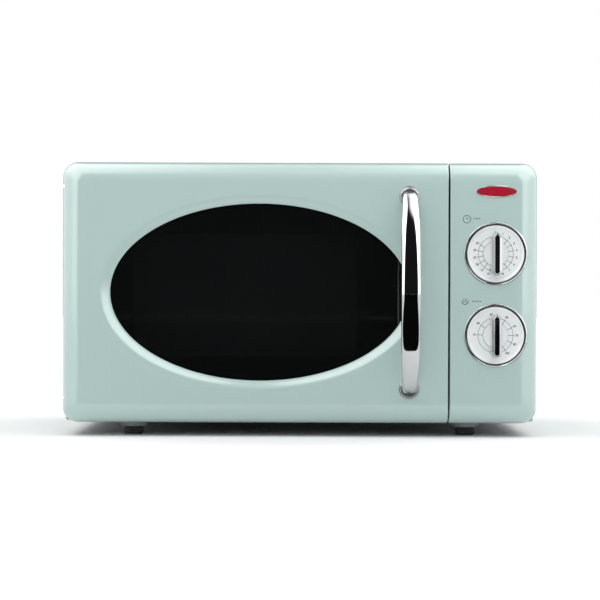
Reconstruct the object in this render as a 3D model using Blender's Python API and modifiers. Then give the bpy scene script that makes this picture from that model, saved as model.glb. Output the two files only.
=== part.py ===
"""Countertop microwave oven with an oval door window, built up piece by piece.

Metres, +Z up. The oven faces -Y and stands on its feet at Z = 0, centred on X and Y.
Depths are measured from the flat front face towards the back.
"""
import math

import bmesh
import bpy
from mathutils import Matrix, Vector

# Overall sizes
WIDTH = 0.454
HEIGHT = 0.262
BODY_DEPTH = 0.345
HANDLE_REACH = 0.038
PANEL_WIDTH = 0.084            # control panel, right of the door
DOOR_GAP = 0.0015
CLEAR = 0.0003                 # gap between pieces that touch

# Front mouldings
FRONT_BOTTOM = 0.013
MOULDING_DEPTH = 0.028
MOULDING_WALL = 0.0025
EDGE_RADIUS = 0.019            # rounding from the front face to the sides
CORNER_RADIUS = 0.0145
FACE_CORNER = 0.004            # corner radius that is left on the flat face
EDGE_STEPS = 6

# Window, as margins from the door's edges
WINDOW_LEFT = 0.046
WINDOW_RIGHT = 0.0369
WINDOW_TOP = 0.0393
WINDOW_BOTTOM = 0.0403
DISH_SIDE = 0.012
DISH_HEIGHT = 0.0085
DISH_DEPTH = 0.004
GLASS_OVERLAP = 0.004
GLASS_THICKNESS = 0.003

# Handle
HANDLE_INSET = 0.0372          # from the door's free edge
HANDLE_TOP = 0.0324
HANDLE_BOTTOM = 0.0334
HANDLE_THICKNESS = 0.009
HANDLE_MIDDLE_WIDTH = 0.0184
HANDLE_END_WIDTH = 0.0122
FERRULE_RADIUS = 0.0099
FERRULE_BORE = 0.0069
FERRULE_DEPTH = 0.0027
STUD_RADIUS = 0.003
BOSS_RADIUS = 0.013
BOSS_DEPTH = 0.0105

# Door pan, its cover and the latch
PAN_FRONT = 0.0125
PAN_WALL = 0.001
PAN_SUNK = 0.0015              # ahead of the moulding's back
PAN_HINGE_GAP = 0.002          # from the hinge pin's barrel
PAN_FREE_SIDE = 0.018          # from the door's free edge
PAN_FOOT = 0.011
PAN_HEAD = 0.010
COVER_BAND = 0.018             # width of the choke cover round the inner window
LATCH_SIDE = 0.0145            # latch bar from the door's free edge
LATCH_WIDTH = 0.005
LATCH_END = 0.047              # hooks from the door's top and bottom
HOOK_REACH = 0.044             # depth of the hooks' noses
BAR_FRONT = 0.0150

# Hinges
PIN_INSET = 0.009              # pin axis from the door's side and from its back
PIN_RADIUS = 0.0022
PIN_LENGTH = 0.014
LUG_HALF_WIDTH = 0.004
LUG_THICKNESS = 0.0025
HINGE_INSET = 0.023            # lug from the door's top and bottom

# Dials and knobs
DIAL_INSET = 0.0406            # dial axis from the right side
DIAL_SPACING = 0.0776
DIAL_DROP = 0.0012             # middle of the two dials below the panel's middle
BEZEL_RADIUS = 0.0302
BEZEL_LIP = 0.0035             # bezel over the edge of the panel's hole
BEZEL_WALL = 0.0019
DIAL_FACE = 0.0018             # dial plate below the panel's face
DIAL_PLATE = 0.0014
SWITCH_FRONT = 0.009
KNOB_WIDTH = 0.0102
KNOB_TO_BEZEL = 0.00395        # from the knob's ends to the bezel's bore
KNOB_HEIGHT = 0.0172
KNOB_FACET = 0.0038
KNOB_SKIRT = 0.0118
SHAFT_RADIUS = 0.003

# Body shells
SHEET = 0.0012
CABINET_WALL = 0.0008
CABINET_INSET = 0.002          # cabinet behind the moulding's outline
PLATE_BOTTOM = 0.014
FOOT_RADIUS = 0.0095
FOOT_HEIGHT = 0.0077
FOOT_INSET = 0.066             # foot axis from the oven's side
FOOT_FRONT = 0.050
FOOT_REAR = 0.045
FOOT_BOSS = 0.0165

# Oven cavity
CAVITY_SIDE = 0.017            # from the oven's side to the cavity's inner wall
COMPARTMENT = 0.122            # from the cavity's inner wall to the oven's right side
CAVITY_FLOOR = 0.038
CAVITY_TOP = 0.026             # below the top of the oven
CAVITY_REAR = 0.020            # in front of the back of the oven
CAVITY_WALL = 0.001

# Turntable
TRAY_GAP = 0.0247              # from the tray's rim to the nearest cavity wall
TRAY_THICKNESS = 0.004
TRAY_RIM = 0.0095
ROLLER_RADIUS = 0.007
ROLLER_WIDTH = 0.008
ROLLER_RING = 0.010            # ring's own width, inside the rollers
ROLLER_INSET = 0.03275         # middle of the rollers inside the tray's rim
MOTOR_RADIUS = 0.0245
MOTOR_HEIGHT = 0.018
RACK_RADIUS = 0.064
RACK_HEIGHT = 0.0785           # rack's top wires above the tray
RACK_WIRE = 0.0017
LEG_ANGLE = 27                 # degrees from the left-right line

# Service bay
PORT_HALF = 0.030              # half of the microwave port's depth
PORT_SHIFT = 0.00755           # port ahead of the cavity's middle
PORT_DROP = (0.112, 0.067)     # port's edges below the top of the oven
DUCT_END = 0.030               # waveguide past the port at each end
DUCT_WIDTH = 0.028
MAGNETRON_SHIFT = 0.010        # antenna behind the port's middle
LAMP_BEHIND = 0.027            # lamp behind the waveguide
LAMP_DROP = 0.052
FAN_SIDE = 0.058
FAN_DROP = 0.087
FAN_RADIUS = 0.044
GLAND_SIDE = 0.037
GLAND_RISE = 0.030
CORE_REAR = 0.168              # middle of the transformer, ahead of the back of the oven
CORE_WIDTH = 0.080
CORE_HEIGHT = 0.066
CORE_STACK = 0.056
CORE_LIMB = 0.018

# Places that follow from the sizes above
FRONT_Y = (HANDLE_REACH - BODY_DEPTH) / 2
LEFT = -WIDTH / 2
RIGHT = WIDTH / 2
DOOR_RIGHT = RIGHT - PANEL_WIDTH - DOOR_GAP
PANEL_LEFT = RIGHT - PANEL_WIDTH
FRAME_FRONT = MOULDING_DEPTH + 2 * CLEAR
FRAME_BACK = FRAME_FRONT + SHEET
SHELL_FRONT = FRAME_BACK + CLEAR
PANEL_FRONT = BODY_DEPTH - 0.0005 - SHEET
PIN_X = LEFT + PIN_INSET
PIN_DEPTH = MOULDING_DEPTH - PIN_INSET
LUG_Z = (FRONT_BOTTOM + HINGE_INSET, HEIGHT - HINGE_INSET)
CABINET_SIDE = RIGHT - CABINET_INSET
CABINET_TOP = HEIGHT - CABINET_INSET
INNER_SIDE = CABINET_SIDE - CABINET_WALL - CLEAR
INNER_TOP = CABINET_TOP - CABINET_WALL - CLEAR
PLATE_TOP = PLATE_BOTTOM + SHEET
CAVITY_LEFT = LEFT + CAVITY_SIDE
CAVITY_RIGHT = RIGHT - COMPARTMENT
CAVITY_CEILING = HEIGHT - CAVITY_TOP
CAVITY_BACK = BODY_DEPTH - CAVITY_REAR
BAY_LEFT = CAVITY_RIGHT + CAVITY_WALL
TURN_X = (CAVITY_LEFT + CAVITY_RIGHT) / 2
TURN_DEPTH = (SHELL_FRONT + CAVITY_BACK) / 2
TRAY_RADIUS = min(CAVITY_RIGHT - CAVITY_LEFT, CAVITY_BACK - SHELL_FRONT) / 2 - TRAY_GAP
ROLLER_CIRCLE = TRAY_RADIUS - ROLLER_INSET
ROLLER_Z = CAVITY_FLOOR + ROLLER_RADIUS + CLEAR
TRAY_BOTTOM = ROLLER_Z + ROLLER_RADIUS + CLEAR
DIAL_X = RIGHT - DIAL_INSET
DIAL_MIDDLE = (FRONT_BOTTOM + HEIGHT) / 2 - DIAL_DROP
DIAL_Z = {"time": DIAL_MIDDLE + DIAL_SPACING / 2, "power": DIAL_MIDDLE - DIAL_SPACING / 2}
HANDLE_X = DOOR_RIGHT - HANDLE_INSET
HANDLE_Z = (FRONT_BOTTOM + HANDLE_BOTTOM, HEIGHT - HANDLE_TOP)
LATCH_X = (DOOR_RIGHT - LATCH_SIDE, DOOR_RIGHT - LATCH_SIDE + LATCH_WIDTH)
LATCH_Z = (FRONT_BOTTOM + LATCH_END, HEIGHT - LATCH_END)
DIAL_SLEEVE = BEZEL_RADIUS - BEZEL_LIP
BEZEL_BORE = DIAL_SLEEVE - BEZEL_WALL
KNOB_LENGTH = 2 * (BEZEL_BORE - KNOB_TO_BEZEL)
PAN_LEFT = PIN_X + PIN_INSET + PAN_HINGE_GAP
PAN_RIGHT = DOOR_RIGHT - PAN_FREE_SIDE
PAN_BOTTOM = FRONT_BOTTOM + PAN_FOOT
PAN_TOP = HEIGHT - PAN_HEAD
PAN_BACK = MOULDING_DEPTH - PAN_SUNK
PORT_DEPTH = (TURN_DEPTH - PORT_SHIFT - PORT_HALF, TURN_DEPTH - PORT_SHIFT + PORT_HALF)
PORT_Z = (HEIGHT - PORT_DROP[0], HEIGHT - PORT_DROP[1])
MAGNETRON_DEPTH = (PORT_DEPTH[0] + PORT_DEPTH[1]) / 2 + MAGNETRON_SHIFT
MAGNETRON_Z = (PORT_Z[0] + PORT_Z[1]) / 2
LAMP_DEPTH = PORT_DEPTH[1] + DUCT_END + LAMP_BEHIND
LAMP_Z = HEIGHT - LAMP_DROP
FAN_X = BAY_LEFT + FAN_SIDE
FAN_Z = HEIGHT - FAN_DROP
GLAND_X = RIGHT - GLAND_SIDE
GLAND_Z = PLATE_TOP + GLAND_RISE

FINISHES = {
    "silver_paint": ((0.40, 0.50, 0.49), 0.32, 0.35),
    "cabinet_paint": ((0.42, 0.52, 0.51), 0.38, 0.30),
    "zinc_sheet": ((0.55, 0.57, 0.58), 0.42, 0.85),
    "oven_paint": ((0.34, 0.36, 0.36), 0.45, 0.25),
    "chrome": ((0.80, 0.81, 0.82), 0.08, 1.0),
    "spun_metal": ((0.62, 0.64, 0.66), 0.28, 0.9),
    "dark_glass": ((0.01, 0.012, 0.013), 0.06, 0.0),
    "clear_glass": ((0.72, 0.82, 0.80), 0.05, 0.0),
    "black_rubber": ((0.02, 0.02, 0.02), 0.80, 0.0),
    "black_plastic": ((0.03, 0.03, 0.035), 0.45, 0.0),
    "grey_plastic": ((0.22, 0.23, 0.24), 0.50, 0.0),
    "white_plastic": ((0.80, 0.80, 0.77), 0.50, 0.0),
    "copper": ((0.72, 0.36, 0.20), 0.35, 0.9),
    "steel": ((0.60, 0.60, 0.60), 0.30, 0.9),
    "mica": ((0.62, 0.56, 0.42), 0.60, 0.0),
    "quartz": ((0.85, 0.82, 0.78), 0.25, 0.0),
    "board_green": ((0.05, 0.25, 0.12), 0.50, 0.0),
    "badge_red": ((0.50, 0.02, 0.03), 0.30, 0.0),
}


def depth(distance):
    """World Y of a depth behind the front face."""
    return FRONT_Y + distance


def at(x, distance, z):
    return Vector((x, depth(distance), z))


def new_collection(name):
    collection = bpy.data.collections.new(name)
    bpy.context.scene.collection.children.link(collection)
    return collection


def make_material(name, finish):
    """A Principled material of a named finish."""
    colour, roughness, metallic = FINISHES[finish]
    material = bpy.data.materials.new(f"{name}_{finish}")
    material.use_nodes = True
    shader = material.node_tree.nodes["Principled BSDF"]
    shader.inputs["Base Color"].default_value = (*colour, 1.0)
    shader.inputs["Roughness"].default_value = roughness
    shader.inputs["Metallic"].default_value = metallic
    return material


def place(name, data, finish):
    """Link a part with its finish, or a hidden cutter where the finish is None."""
    piece = bpy.data.objects.new(name, data)
    if finish is None:
        CUTTERS.objects.link(piece)
        piece.hide_render = True
        piece.display_type = "WIRE"
    else:
        PARTS.objects.link(piece)
        data.materials.append(make_material(name, finish))
    return piece


def from_bmesh(name, mesh, finish):
    data = bpy.data.meshes.new(name)
    mesh.to_mesh(data)
    mesh.free()
    return place(name, data, finish)


def shade_round(piece, angle=35.0):
    piece.data.shade_smooth()
    piece.data.set_sharp_from_angle(angle=math.radians(angle))
    return piece


def box(name, low, high, finish=None):
    mesh = bmesh.new()
    bmesh.ops.create_cube(mesh, size=1.0)
    bmesh.ops.scale(mesh, vec=Vector(high) - Vector(low), verts=mesh.verts)
    piece = from_bmesh(name, mesh, finish)
    piece.location = (Vector(low) + Vector(high)) / 2
    return piece


def rod(name, start, end, radius, finish=None, end_radius=None, segments=24):
    """A cylinder or cone from one point to another."""
    start, end = Vector(start), Vector(end)
    mesh = bmesh.new()
    bmesh.ops.create_cone(
        mesh, cap_ends=True, segments=segments, radius1=radius,
        radius2=radius if end_radius is None else end_radius, depth=(end - start).length)
    piece = shade_round(from_bmesh(name, mesh, finish))
    piece.rotation_euler = (end - start).to_track_quat("Z", "Y").to_euler()
    piece.location = (start + end) / 2
    return piece


def lathe(name, profile, base, direction, finish=None, steps=32, closed=True):
    """Turn (radius, height) points, listed down the outer side, about an axis through base."""
    mesh = bmesh.new()
    points = [mesh.verts.new((radius, 0.0, height)) for radius, height in profile]
    for first, second in zip(points, points[1:]):
        mesh.edges.new((first, second))
    if closed:
        mesh.edges.new((points[-1], points[0]))
    piece = from_bmesh(name, mesh, finish)
    turn = piece.modifiers.new("turn", "SCREW")
    turn.steps = turn.render_steps = steps
    turn.use_merge_vertices = True
    turn.merge_threshold = 0.00001
    piece.rotation_euler = Vector(direction).to_track_quat("Z", "Y").to_euler()
    piece.location = base
    return piece


def loft(name, sections, finish=None):
    """Bridge equal rings of points and cap both ends."""
    mesh = bmesh.new()
    rings = [[mesh.verts.new(point) for point in section] for section in sections]
    for first, second in zip(rings, rings[1:]):
        for i in range(len(first)):
            j = (i + 1) % len(first)
            mesh.faces.new((first[i], first[j], second[j], second[i]))
    mesh.faces.new(rings[0])
    mesh.faces.new(rings[-1])
    bmesh.ops.recalc_face_normals(mesh, faces=mesh.faces)
    return from_bmesh(name, mesh, finish)


def prism(name, outline, across, low, high, finish=None):
    """Extrude an outline along the axis `across`, between two world coordinates."""
    order = {"X": lambda u, v, w: (w, u, v), "Y": lambda u, v, w: (u, w, v), "Z": lambda u, v, w: (u, v, w)}
    return loft(name, [[order[across](u, v, w) for u, v in outline] for w in (low, high)], finish)


def boolean(target, operation, *tools):
    for tool in tools:
        step = target.modifiers.new(tool.name, "BOOLEAN")
        step.operation = operation
        step.object = tool
    return target


def cut(target, *tools):
    return boolean(target, "DIFFERENCE", *tools)


def join(target, *tools):
    return boolean(target, "UNION", *tools)


def pivot(name, location, pieces):
    """An empty on a joint's axis that carries the pieces turning or sliding on it."""
    empty = bpy.data.objects.new(name, None)
    PARTS.objects.link(empty)
    empty.location = location
    for piece in pieces:
        piece.parent = empty
        piece.matrix_parent_inverse = Matrix.Translation(location).inverted()
    return empty


def rounded_rectangle(left, right, bottom, top, radius, steps=6):
    """Outline with round corners, counter-clockwise from the right side."""
    corners = ((right, top, 0), (left, top, 90), (left, bottom, 180), (right, bottom, 270))
    points = []
    for x, z, start in corners:
        centre_x = x - math.copysign(radius, x - (left + right) / 2)
        centre_z = z - math.copysign(radius, z - (bottom + top) / 2)
        for i in range(steps + 1):
            angle = math.radians(start + 90 * i / steps)
            points.append((centre_x + radius * math.cos(angle), centre_z + radius * math.sin(angle)))
    return points


def oval(x, z, half_width, half_height, steps=36):
    angles = [2 * math.pi * i / steps for i in range(steps)]
    return [(x + half_width * math.cos(a), z + half_height * math.sin(a)) for a in angles]


def front_moulding(name, wall, back, finish=None):
    """The rounded front block over door and control panel, shrunk by a wall on every side."""
    edge = EDGE_RADIUS - wall
    sections = []
    for i in range(EDGE_STEPS + 1):
        angle = math.radians(90 * i / EDGE_STEPS)
        taken = edge * (1 - math.sin(angle))
        corner = CORNER_RADIUS - wall
        radius = corner + (FACE_CORNER - corner) * taken / edge
        inset = wall + taken
        sections.append((wall + edge * (1 - math.cos(angle)), inset, radius))
    sections.append((back, wall, CORNER_RADIUS - wall))
    rings = []
    for distance, inset, radius in sections:
        outline = rounded_rectangle(LEFT + inset, RIGHT - inset, FRONT_BOTTOM + inset, HEIGHT - inset, radius)
        rings.append([(x, depth(distance), z) for x, z in outline])
    return loft(name, rings, finish)


def window_oval(grow_x=0.0, grow_z=0.0):
    """Outline of the window, grown by a margin."""
    left, right = LEFT + WINDOW_LEFT, DOOR_RIGHT - WINDOW_RIGHT
    bottom, top = FRONT_BOTTOM + WINDOW_BOTTOM, HEIGHT - WINDOW_TOP
    return oval((left + right) / 2, (bottom + top) / 2,
                (right - left) / 2 + grow_x, (top - bottom) / 2 + grow_z)


def window_dish():
    """Cutter for the hollow that leads from the door's face down to the glass."""
    rings = []
    for reach, sunk in ((1.15, -0.0006), (1.0, 0.0), (0.62, 0.0012), (0.28, 0.0028), (0.0, DISH_DEPTH)):
        outline = window_oval(DISH_SIDE * reach, DISH_HEIGHT * reach)
        rings.append([(x, depth(sunk), z) for x, z in outline])
    return loft("window_dish", rings)


def door_frame():
    """Moulded door: window opening, handle recesses and a solid post round the hinge pins."""
    far = 0.002
    post_right = PIN_X + PIN_INSET
    hollow = front_moulding("door_hollow", MOULDING_WALL, MOULDING_DEPTH + far)
    cut(hollow, box("door_side_wall", at(DOOR_RIGHT - MOULDING_WALL, -far, 0), at(RIGHT + far, 0.04, HEIGHT)),
        box("hinge_post", at(LEFT - far, -far, 0), at(post_right, 0.04, HEIGHT)),
        prism("window_surround", window_oval(DISH_SIDE + 0.004, DISH_HEIGHT + 0.004), "Y",
              depth(-far), depth(DISH_DEPTH + GLASS_THICKNESS + 0.002)))
    for end, z in enumerate(HANDLE_Z):
        cut(hollow, rod(f"handle_boss_{end}", at(HANDLE_X, -far, z), at(HANDLE_X, BOSS_DEPTH, z),
                        BOSS_RADIUS))
    door = front_moulding("door_frame", 0.0, MOULDING_DEPTH, "silver_paint")
    seat = DISH_DEPTH + 0.001
    cut(door, box("right_of_door", at(DOOR_RIGHT, -far, 0), at(RIGHT + far, 0.04, HEIGHT)),
        hollow, window_dish(),
        prism("window_hole", window_oval(), "Y", depth(DISH_DEPTH - 0.0001), depth(seat + 0.0001)),
        prism("glass_seat", window_oval(GLASS_OVERLAP, GLASS_OVERLAP), "Y", depth(seat), depth(0.02)))
    for end, z in enumerate(HANDLE_Z):
        cut(door,
            rod(f"ferrule_seat_{end}", at(HANDLE_X, -far, z), at(HANDLE_X, FERRULE_DEPTH + CLEAR, z),
                FERRULE_RADIUS + CLEAR),
            rod(f"stud_hole_{end}", at(HANDLE_X, 0, z), at(HANDLE_X, BOSS_DEPTH + far, z),
                STUD_RADIUS + CLEAR))
    round_corner = box("hinge_corner", at(LEFT - far, PIN_DEPTH, 0), at(PIN_X, MOULDING_DEPTH + far, HEIGHT))
    cut(round_corner, rod("hinge_round", at(PIN_X, PIN_DEPTH, -far), at(PIN_X, PIN_DEPTH, HEIGHT + far),
                          PIN_INSET, segments=48))
    cut(door, round_corner)
    reach = LUG_HALF_WIDTH + 0.0015
    for end, z in enumerate(LUG_Z):
        half = LUG_THICKNESS / 2 + CLEAR
        cut(door,
            box(f"lug_slot_{end}", at(LEFT - far, PIN_DEPTH - 0.008, z - half),
                at(PIN_X + reach, MOULDING_DEPTH + far, z + half)),
            rod(f"pin_bore_{end}", at(PIN_X, PIN_DEPTH, z - PIN_LENGTH / 2 - CLEAR),
                at(PIN_X, PIN_DEPTH, z + PIN_LENGTH / 2 + CLEAR), PIN_RADIUS + CLEAR))
    return shade_round(door)


def door_glass():
    front = DISH_DEPTH + 0.001 + CLEAR
    grow = GLASS_OVERLAP - CLEAR
    return prism("door_glass", window_oval(grow, grow), "Y",
                 depth(front), depth(front + GLASS_THICKNESS), "dark_glass")


def door_plate():
    """Steel choke pan behind the glass, open at the back."""
    plate = box("door_plate", at(PAN_LEFT, PAN_FRONT, PAN_BOTTOM), at(PAN_RIGHT, PAN_BACK, PAN_TOP),
                "zinc_sheet")
    return cut(plate, box("pan_inside", at(PAN_LEFT + PAN_WALL, PAN_FRONT + PAN_WALL, PAN_BOTTOM + PAN_WALL),
                          at(PAN_RIGHT - PAN_WALL, 0.04, PAN_TOP - PAN_WALL)))


def pan_space(margin):
    """Left, right, bottom and top of the pan's inside, less a margin."""
    inset = PAN_WALL + margin
    return PAN_LEFT + inset, PAN_RIGHT - inset, PAN_BOTTOM + inset, PAN_TOP - inset


def door_inner_sheet():
    """Clear sheet that keeps steam off the perforated screen."""
    left, right, bottom, top = pan_space(CLEAR)
    front = PAN_FRONT + PAN_WALL + CLEAR
    return box("door_inner_sheet", at(left, front, bottom), at(right, front + 0.0008, top), "clear_glass")


def choke_cover():
    """Plastic channel frame round the door's inner window, seen when the door is open."""
    left, right, bottom, top = pan_space(CLEAR)
    band, wall = COVER_BAND, 0.002
    front = PAN_FRONT + PAN_WALL + CLEAR + 0.0008 + CLEAR
    back = MOULDING_DEPTH - 0.0003
    cover = box("choke_cover", at(left, front, bottom), at(right, back, top), "grey_plastic")
    ring = box("choke_channel", at(left + wall, front - 0.001, bottom + wall),
               at(right - wall, back - wall, top - wall))
    keep = band - wall
    cut(ring, box("choke_inner_wall", at(left + keep, 0, bottom + keep), at(right - keep, 0.04, top - keep)))
    return cut(cover, ring, box("inner_window", at(left + band, 0, bottom + band),
                                at(right - band, 0.04, top - band)))


def latch_hooks():
    """One sliding bar with two hooks that pass through the front frame."""
    low, high = LATCH_Z
    bar = box("latch_hooks", at(LATCH_X[0], BAR_FRONT, low - 0.010),
              at(LATCH_X[1], BAR_FRONT + 0.007, high + 0.012),
              "black_plastic")
    for end, z in enumerate(LATCH_Z):
        hook = [(depth(BAR_FRONT + 0.006), z - 0.005), (depth(0.036), z - 0.004), (depth(0.036), z - 0.007),
                (depth(0.0385), z - 0.007), (depth(HOOK_REACH), z), (depth(0.040), z + 0.004),
                (depth(BAR_FRONT + 0.006), z + 0.005)]
        join(bar, prism(f"hook_{end}", hook, "X", LATCH_X[0] + 0.0005, LATCH_X[1] - 0.0005))
    return bar


def latch_spring():
    """Coil spring below the bar, drawn as its outer sleeve."""
    x = (LATCH_X[0] + LATCH_X[1]) / 2
    top = LATCH_Z[0] - 0.010 - CLEAR
    return rod("latch_spring", at(x, BAR_FRONT + 0.0035, top - 0.016), at(x, BAR_FRONT + 0.0035, top), 0.0022,
               "steel", segments=12)


def handle_widths(along):
    """Width of the handle at a place from 0, its top end, to 1, its bottom end."""
    swell = math.sin(math.pi * min(max(along, 0.0), 1.0)) ** 0.8
    return HANDLE_END_WIDTH + (HANDLE_MIDDLE_WIDTH - HANDLE_END_WIDTH) * swell


def handle():
    """Bowed chrome bar whose ends stand in two round ferrules."""
    bottom, top = HANDLE_Z
    middle, half = (bottom + top) / 2, (top - bottom) / 2
    bulge = HANDLE_REACH - HANDLE_THICKNESS / 2
    stations = [(top, FERRULE_DEPTH - CLEAR, (0.0, -1.0), 0.0)]
    steps = 14
    for i in range(steps + 1):
        angle = math.pi * i / steps
        tangent = Vector((-half * math.sin(angle), -bulge * math.cos(angle))).normalized()
        stations.append((middle + half * math.cos(angle), -bulge * math.sin(angle),
                         (tangent.x, tangent.y), i / steps))
    stations.append((bottom, FERRULE_DEPTH - CLEAR, (0.0, 1.0), 1.0))
    rings = []
    for z, distance, (along_z, along_y), share in stations:
        width = handle_widths(share) / 2
        ring = []
        for k in range(12):
            turn = 2 * math.pi * k / 12
            out = HANDLE_THICKNESS / 2 * math.sin(turn)
            ring.append((HANDLE_X + width * math.cos(turn), depth(distance + out * along_z),
                         z - out * along_y))
        rings.append(ring)
    bar = loft("handle", rings, "chrome")
    for end, z in enumerate(HANDLE_Z):
        join(bar, rod(f"handle_stud_{end}", at(HANDLE_X, -0.001, z), at(HANDLE_X, BOSS_DEPTH - 0.001, z),
                      STUD_RADIUS))
    return shade_round(bar, 50)


def handle_ferrules():
    """Bright cups that line the door's recesses round the handle's ends."""
    profile = [(FERRULE_RADIUS - 0.001, 0.0006), (FERRULE_RADIUS, 0.0), (FERRULE_RADIUS, -FERRULE_DEPTH),
               (FERRULE_BORE, -FERRULE_DEPTH), (FERRULE_BORE, -0.0012), (FERRULE_BORE + 0.001, -0.0006)]
    return [shade_round(lathe(f"handle_ferrule_{name}", profile, at(HANDLE_X, 0, z), (0, -1, 0),
                              "spun_metal", steps=20))
            for name, z in zip(("bottom", "top"), HANDLE_Z)]


def hinges():
    """Upper and lower hinge: a flange behind the frame, a lug and a pin."""
    pieces = []
    for name, z in zip(("lower", "upper"), LUG_Z):
        low, high = z - LUG_THICKNESS / 2, z + LUG_THICKNESS / 2
        tip = [(PIN_X + LUG_HALF_WIDTH * math.cos(math.radians(a)),
                depth(PIN_DEPTH - LUG_HALF_WIDTH * math.sin(math.radians(a)))) for a in range(0, 181, 20)]
        outline = tip + [(PIN_X - LUG_HALF_WIDTH, depth(SHELL_FRONT + 0.001)),
                         (PIN_X + LUG_HALF_WIDTH, depth(SHELL_FRONT + 0.001))]
        hinge = prism(f"hinge_{name}", outline, "Z", low, high, "zinc_sheet")
        join(hinge, rod(f"pin_{name}", at(PIN_X, PIN_DEPTH, z - PIN_LENGTH / 2),
                        at(PIN_X, PIN_DEPTH, z + PIN_LENGTH / 2),
                        PIN_RADIUS, segments=16),
             box(f"hinge_flange_{name}", at(PIN_X - 0.005, SHELL_FRONT, z - 0.012),
                 at(CAVITY_LEFT - CAVITY_WALL - CLEAR, SHELL_FRONT + 0.0015, z + 0.012)))
        pieces.append(hinge)
    return pieces


def control_panel():
    """Moulded panel beside the door, with a sleeve behind each dial that seats its switch."""
    far = 0.002
    hollow = front_moulding("panel_hollow", MOULDING_WALL, MOULDING_DEPTH + far)
    cut(hollow, box("panel_side_wall", at(LEFT - far, -far, 0), at(PANEL_LEFT + MOULDING_WALL, 0.04, HEIGHT)))
    panel = front_moulding("control_panel", 0.0, MOULDING_DEPTH, "silver_paint")
    cut(panel, box("left_of_panel", at(LEFT - far, -far, 0), at(PANEL_LEFT, 0.04, HEIGHT)))
    for name, z in DIAL_Z.items():
        cut(hollow, rod(f"{name}_boss", at(DIAL_X, -far, z), at(DIAL_X, SWITCH_FRONT - CLEAR, z),
                        DIAL_SLEEVE + 0.0028,
                        segments=24))
    cut(panel, hollow)
    for name, z in DIAL_Z.items():
        cut(panel, rod(f"{name}_hole", at(DIAL_X, -far, z), at(DIAL_X, 0.012, z), DIAL_SLEEVE + CLEAR,
                       segments=32))
    return shade_round(panel)


def dial_bezel(name):
    """Turned ring: a flange on the panel's face and a sleeve that holds the dial plate."""
    profile = [(BEZEL_RADIUS - 0.0016, 0.0017), (BEZEL_RADIUS, 0.0008), (BEZEL_RADIUS, CLEAR),
               (DIAL_SLEEVE, CLEAR),
               (DIAL_SLEEVE, -0.0060), (DIAL_SLEEVE - 0.0009, -0.0060), (DIAL_SLEEVE - 0.0009,
                                                                         CLEAR - DIAL_FACE),
               (BEZEL_BORE, CLEAR - DIAL_FACE), (BEZEL_BORE, 0.0003), (BEZEL_BORE + 0.0020, 0.0011)]
    return shade_round(lathe(f"{name}_bezel", profile, at(DIAL_X, 0, DIAL_Z[name]), (0, -1, 0), "chrome",
                             steps=32))


def dial_plate(name):
    outer = DIAL_SLEEVE - 0.0009 - CLEAR
    profile = [(outer, -DIAL_FACE), (outer, -DIAL_FACE - DIAL_PLATE),
               (SHAFT_RADIUS + 0.0006, -DIAL_FACE - DIAL_PLATE), (SHAFT_RADIUS + 0.0006, -DIAL_FACE)]
    return shade_round(lathe(f"{name}_dial_plate", profile, at(DIAL_X, 0, DIAL_Z[name]), (0, -1, 0),
                             "silver_paint",
                             steps=24))


def knob_outline(width, up, down, tip):
    """Pointer seen from the front: round at the bottom, pointed at the top."""
    half = width / 2
    points = [(half, up - tip), (0.0, up), (-half, up - tip)]
    for i in range(9):
        angle = math.radians(180 + 180 * i / 8)
        points.append((half * math.cos(angle), -down + half + half * math.sin(angle)))
    return points


def dial_knob(name):
    """Pointer knob: a tapered bar on a round skirt, bored for its shaft."""
    z = DIAL_Z[name]
    half = KNOB_LENGTH / 2
    stages = ((0.0004, KNOB_WIDTH, half, 0.0055), (-KNOB_HEIGHT + 0.0008, KNOB_FACET + 0.0006,
                                                   half - 0.0018, 0.0035),
              (-KNOB_HEIGHT, KNOB_FACET, half - 0.0024, 0.0032))
    rings = [[(DIAL_X + x, depth(distance), z + up) for x, up in knob_outline(width, reach, reach, tip)]
             for distance, width, reach, tip in stages]
    knob = loft(f"{name}_knob", rings, "chrome")
    join(knob, rod(f"{name}_skirt", at(DIAL_X, 0, z), at(DIAL_X, DIAL_FACE - 0.0006, z), KNOB_SKIRT,
                   segments=32))
    cut(knob, rod(f"{name}_bore", at(DIAL_X, -0.009, z), at(DIAL_X, 0.004, z), SHAFT_RADIUS + CLEAR,
                  segments=16))
    return knob


def dial_shaft(name):
    z = DIAL_Z[name]
    return rod(f"{name}_shaft", at(DIAL_X, -0.0085, z), at(DIAL_X, SWITCH_FRONT + 0.007, z), SHAFT_RADIUS,
               "steel",
               segments=16)


def rotary_switch(name, dial, half_width, half_height, length, can_radius, can_length):
    """Timer or power switch: a case with a fixing flange, a motor can and a bore for the shaft."""
    z = DIAL_Z[dial]
    back = SWITCH_FRONT + length
    case = box(name, at(DIAL_X - half_width, SWITCH_FRONT, z - half_height),
               at(DIAL_X + half_width, back, z + half_height),
               "white_plastic")
    join(case,
         box(f"{name}_flange", at(DIAL_X - half_width - 0.004, SWITCH_FRONT, z - 0.015),
             at(DIAL_X + half_width + 0.004, SWITCH_FRONT + 0.0015, z + 0.015)),
         rod(f"{name}_can", at(DIAL_X, back - 0.001, z), at(DIAL_X, back + can_length, z), can_radius,
             segments=28))
    return cut(case, rod(f"{name}_bore", at(DIAL_X, SWITCH_FRONT - 0.002, z),
                         at(DIAL_X, SWITCH_FRONT + 0.0075, z),
                         SHAFT_RADIUS + CLEAR, segments=16))


def badge():
    """Plain raised lozenge above the dials."""
    outline = oval(RIGHT - 0.0400, HEIGHT - 0.0276, 0.0200, 0.0055, steps=40)
    return prism("badge", outline, "Y", depth(-CLEAR - 0.0007), depth(-CLEAR), "badge_red")


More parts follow.
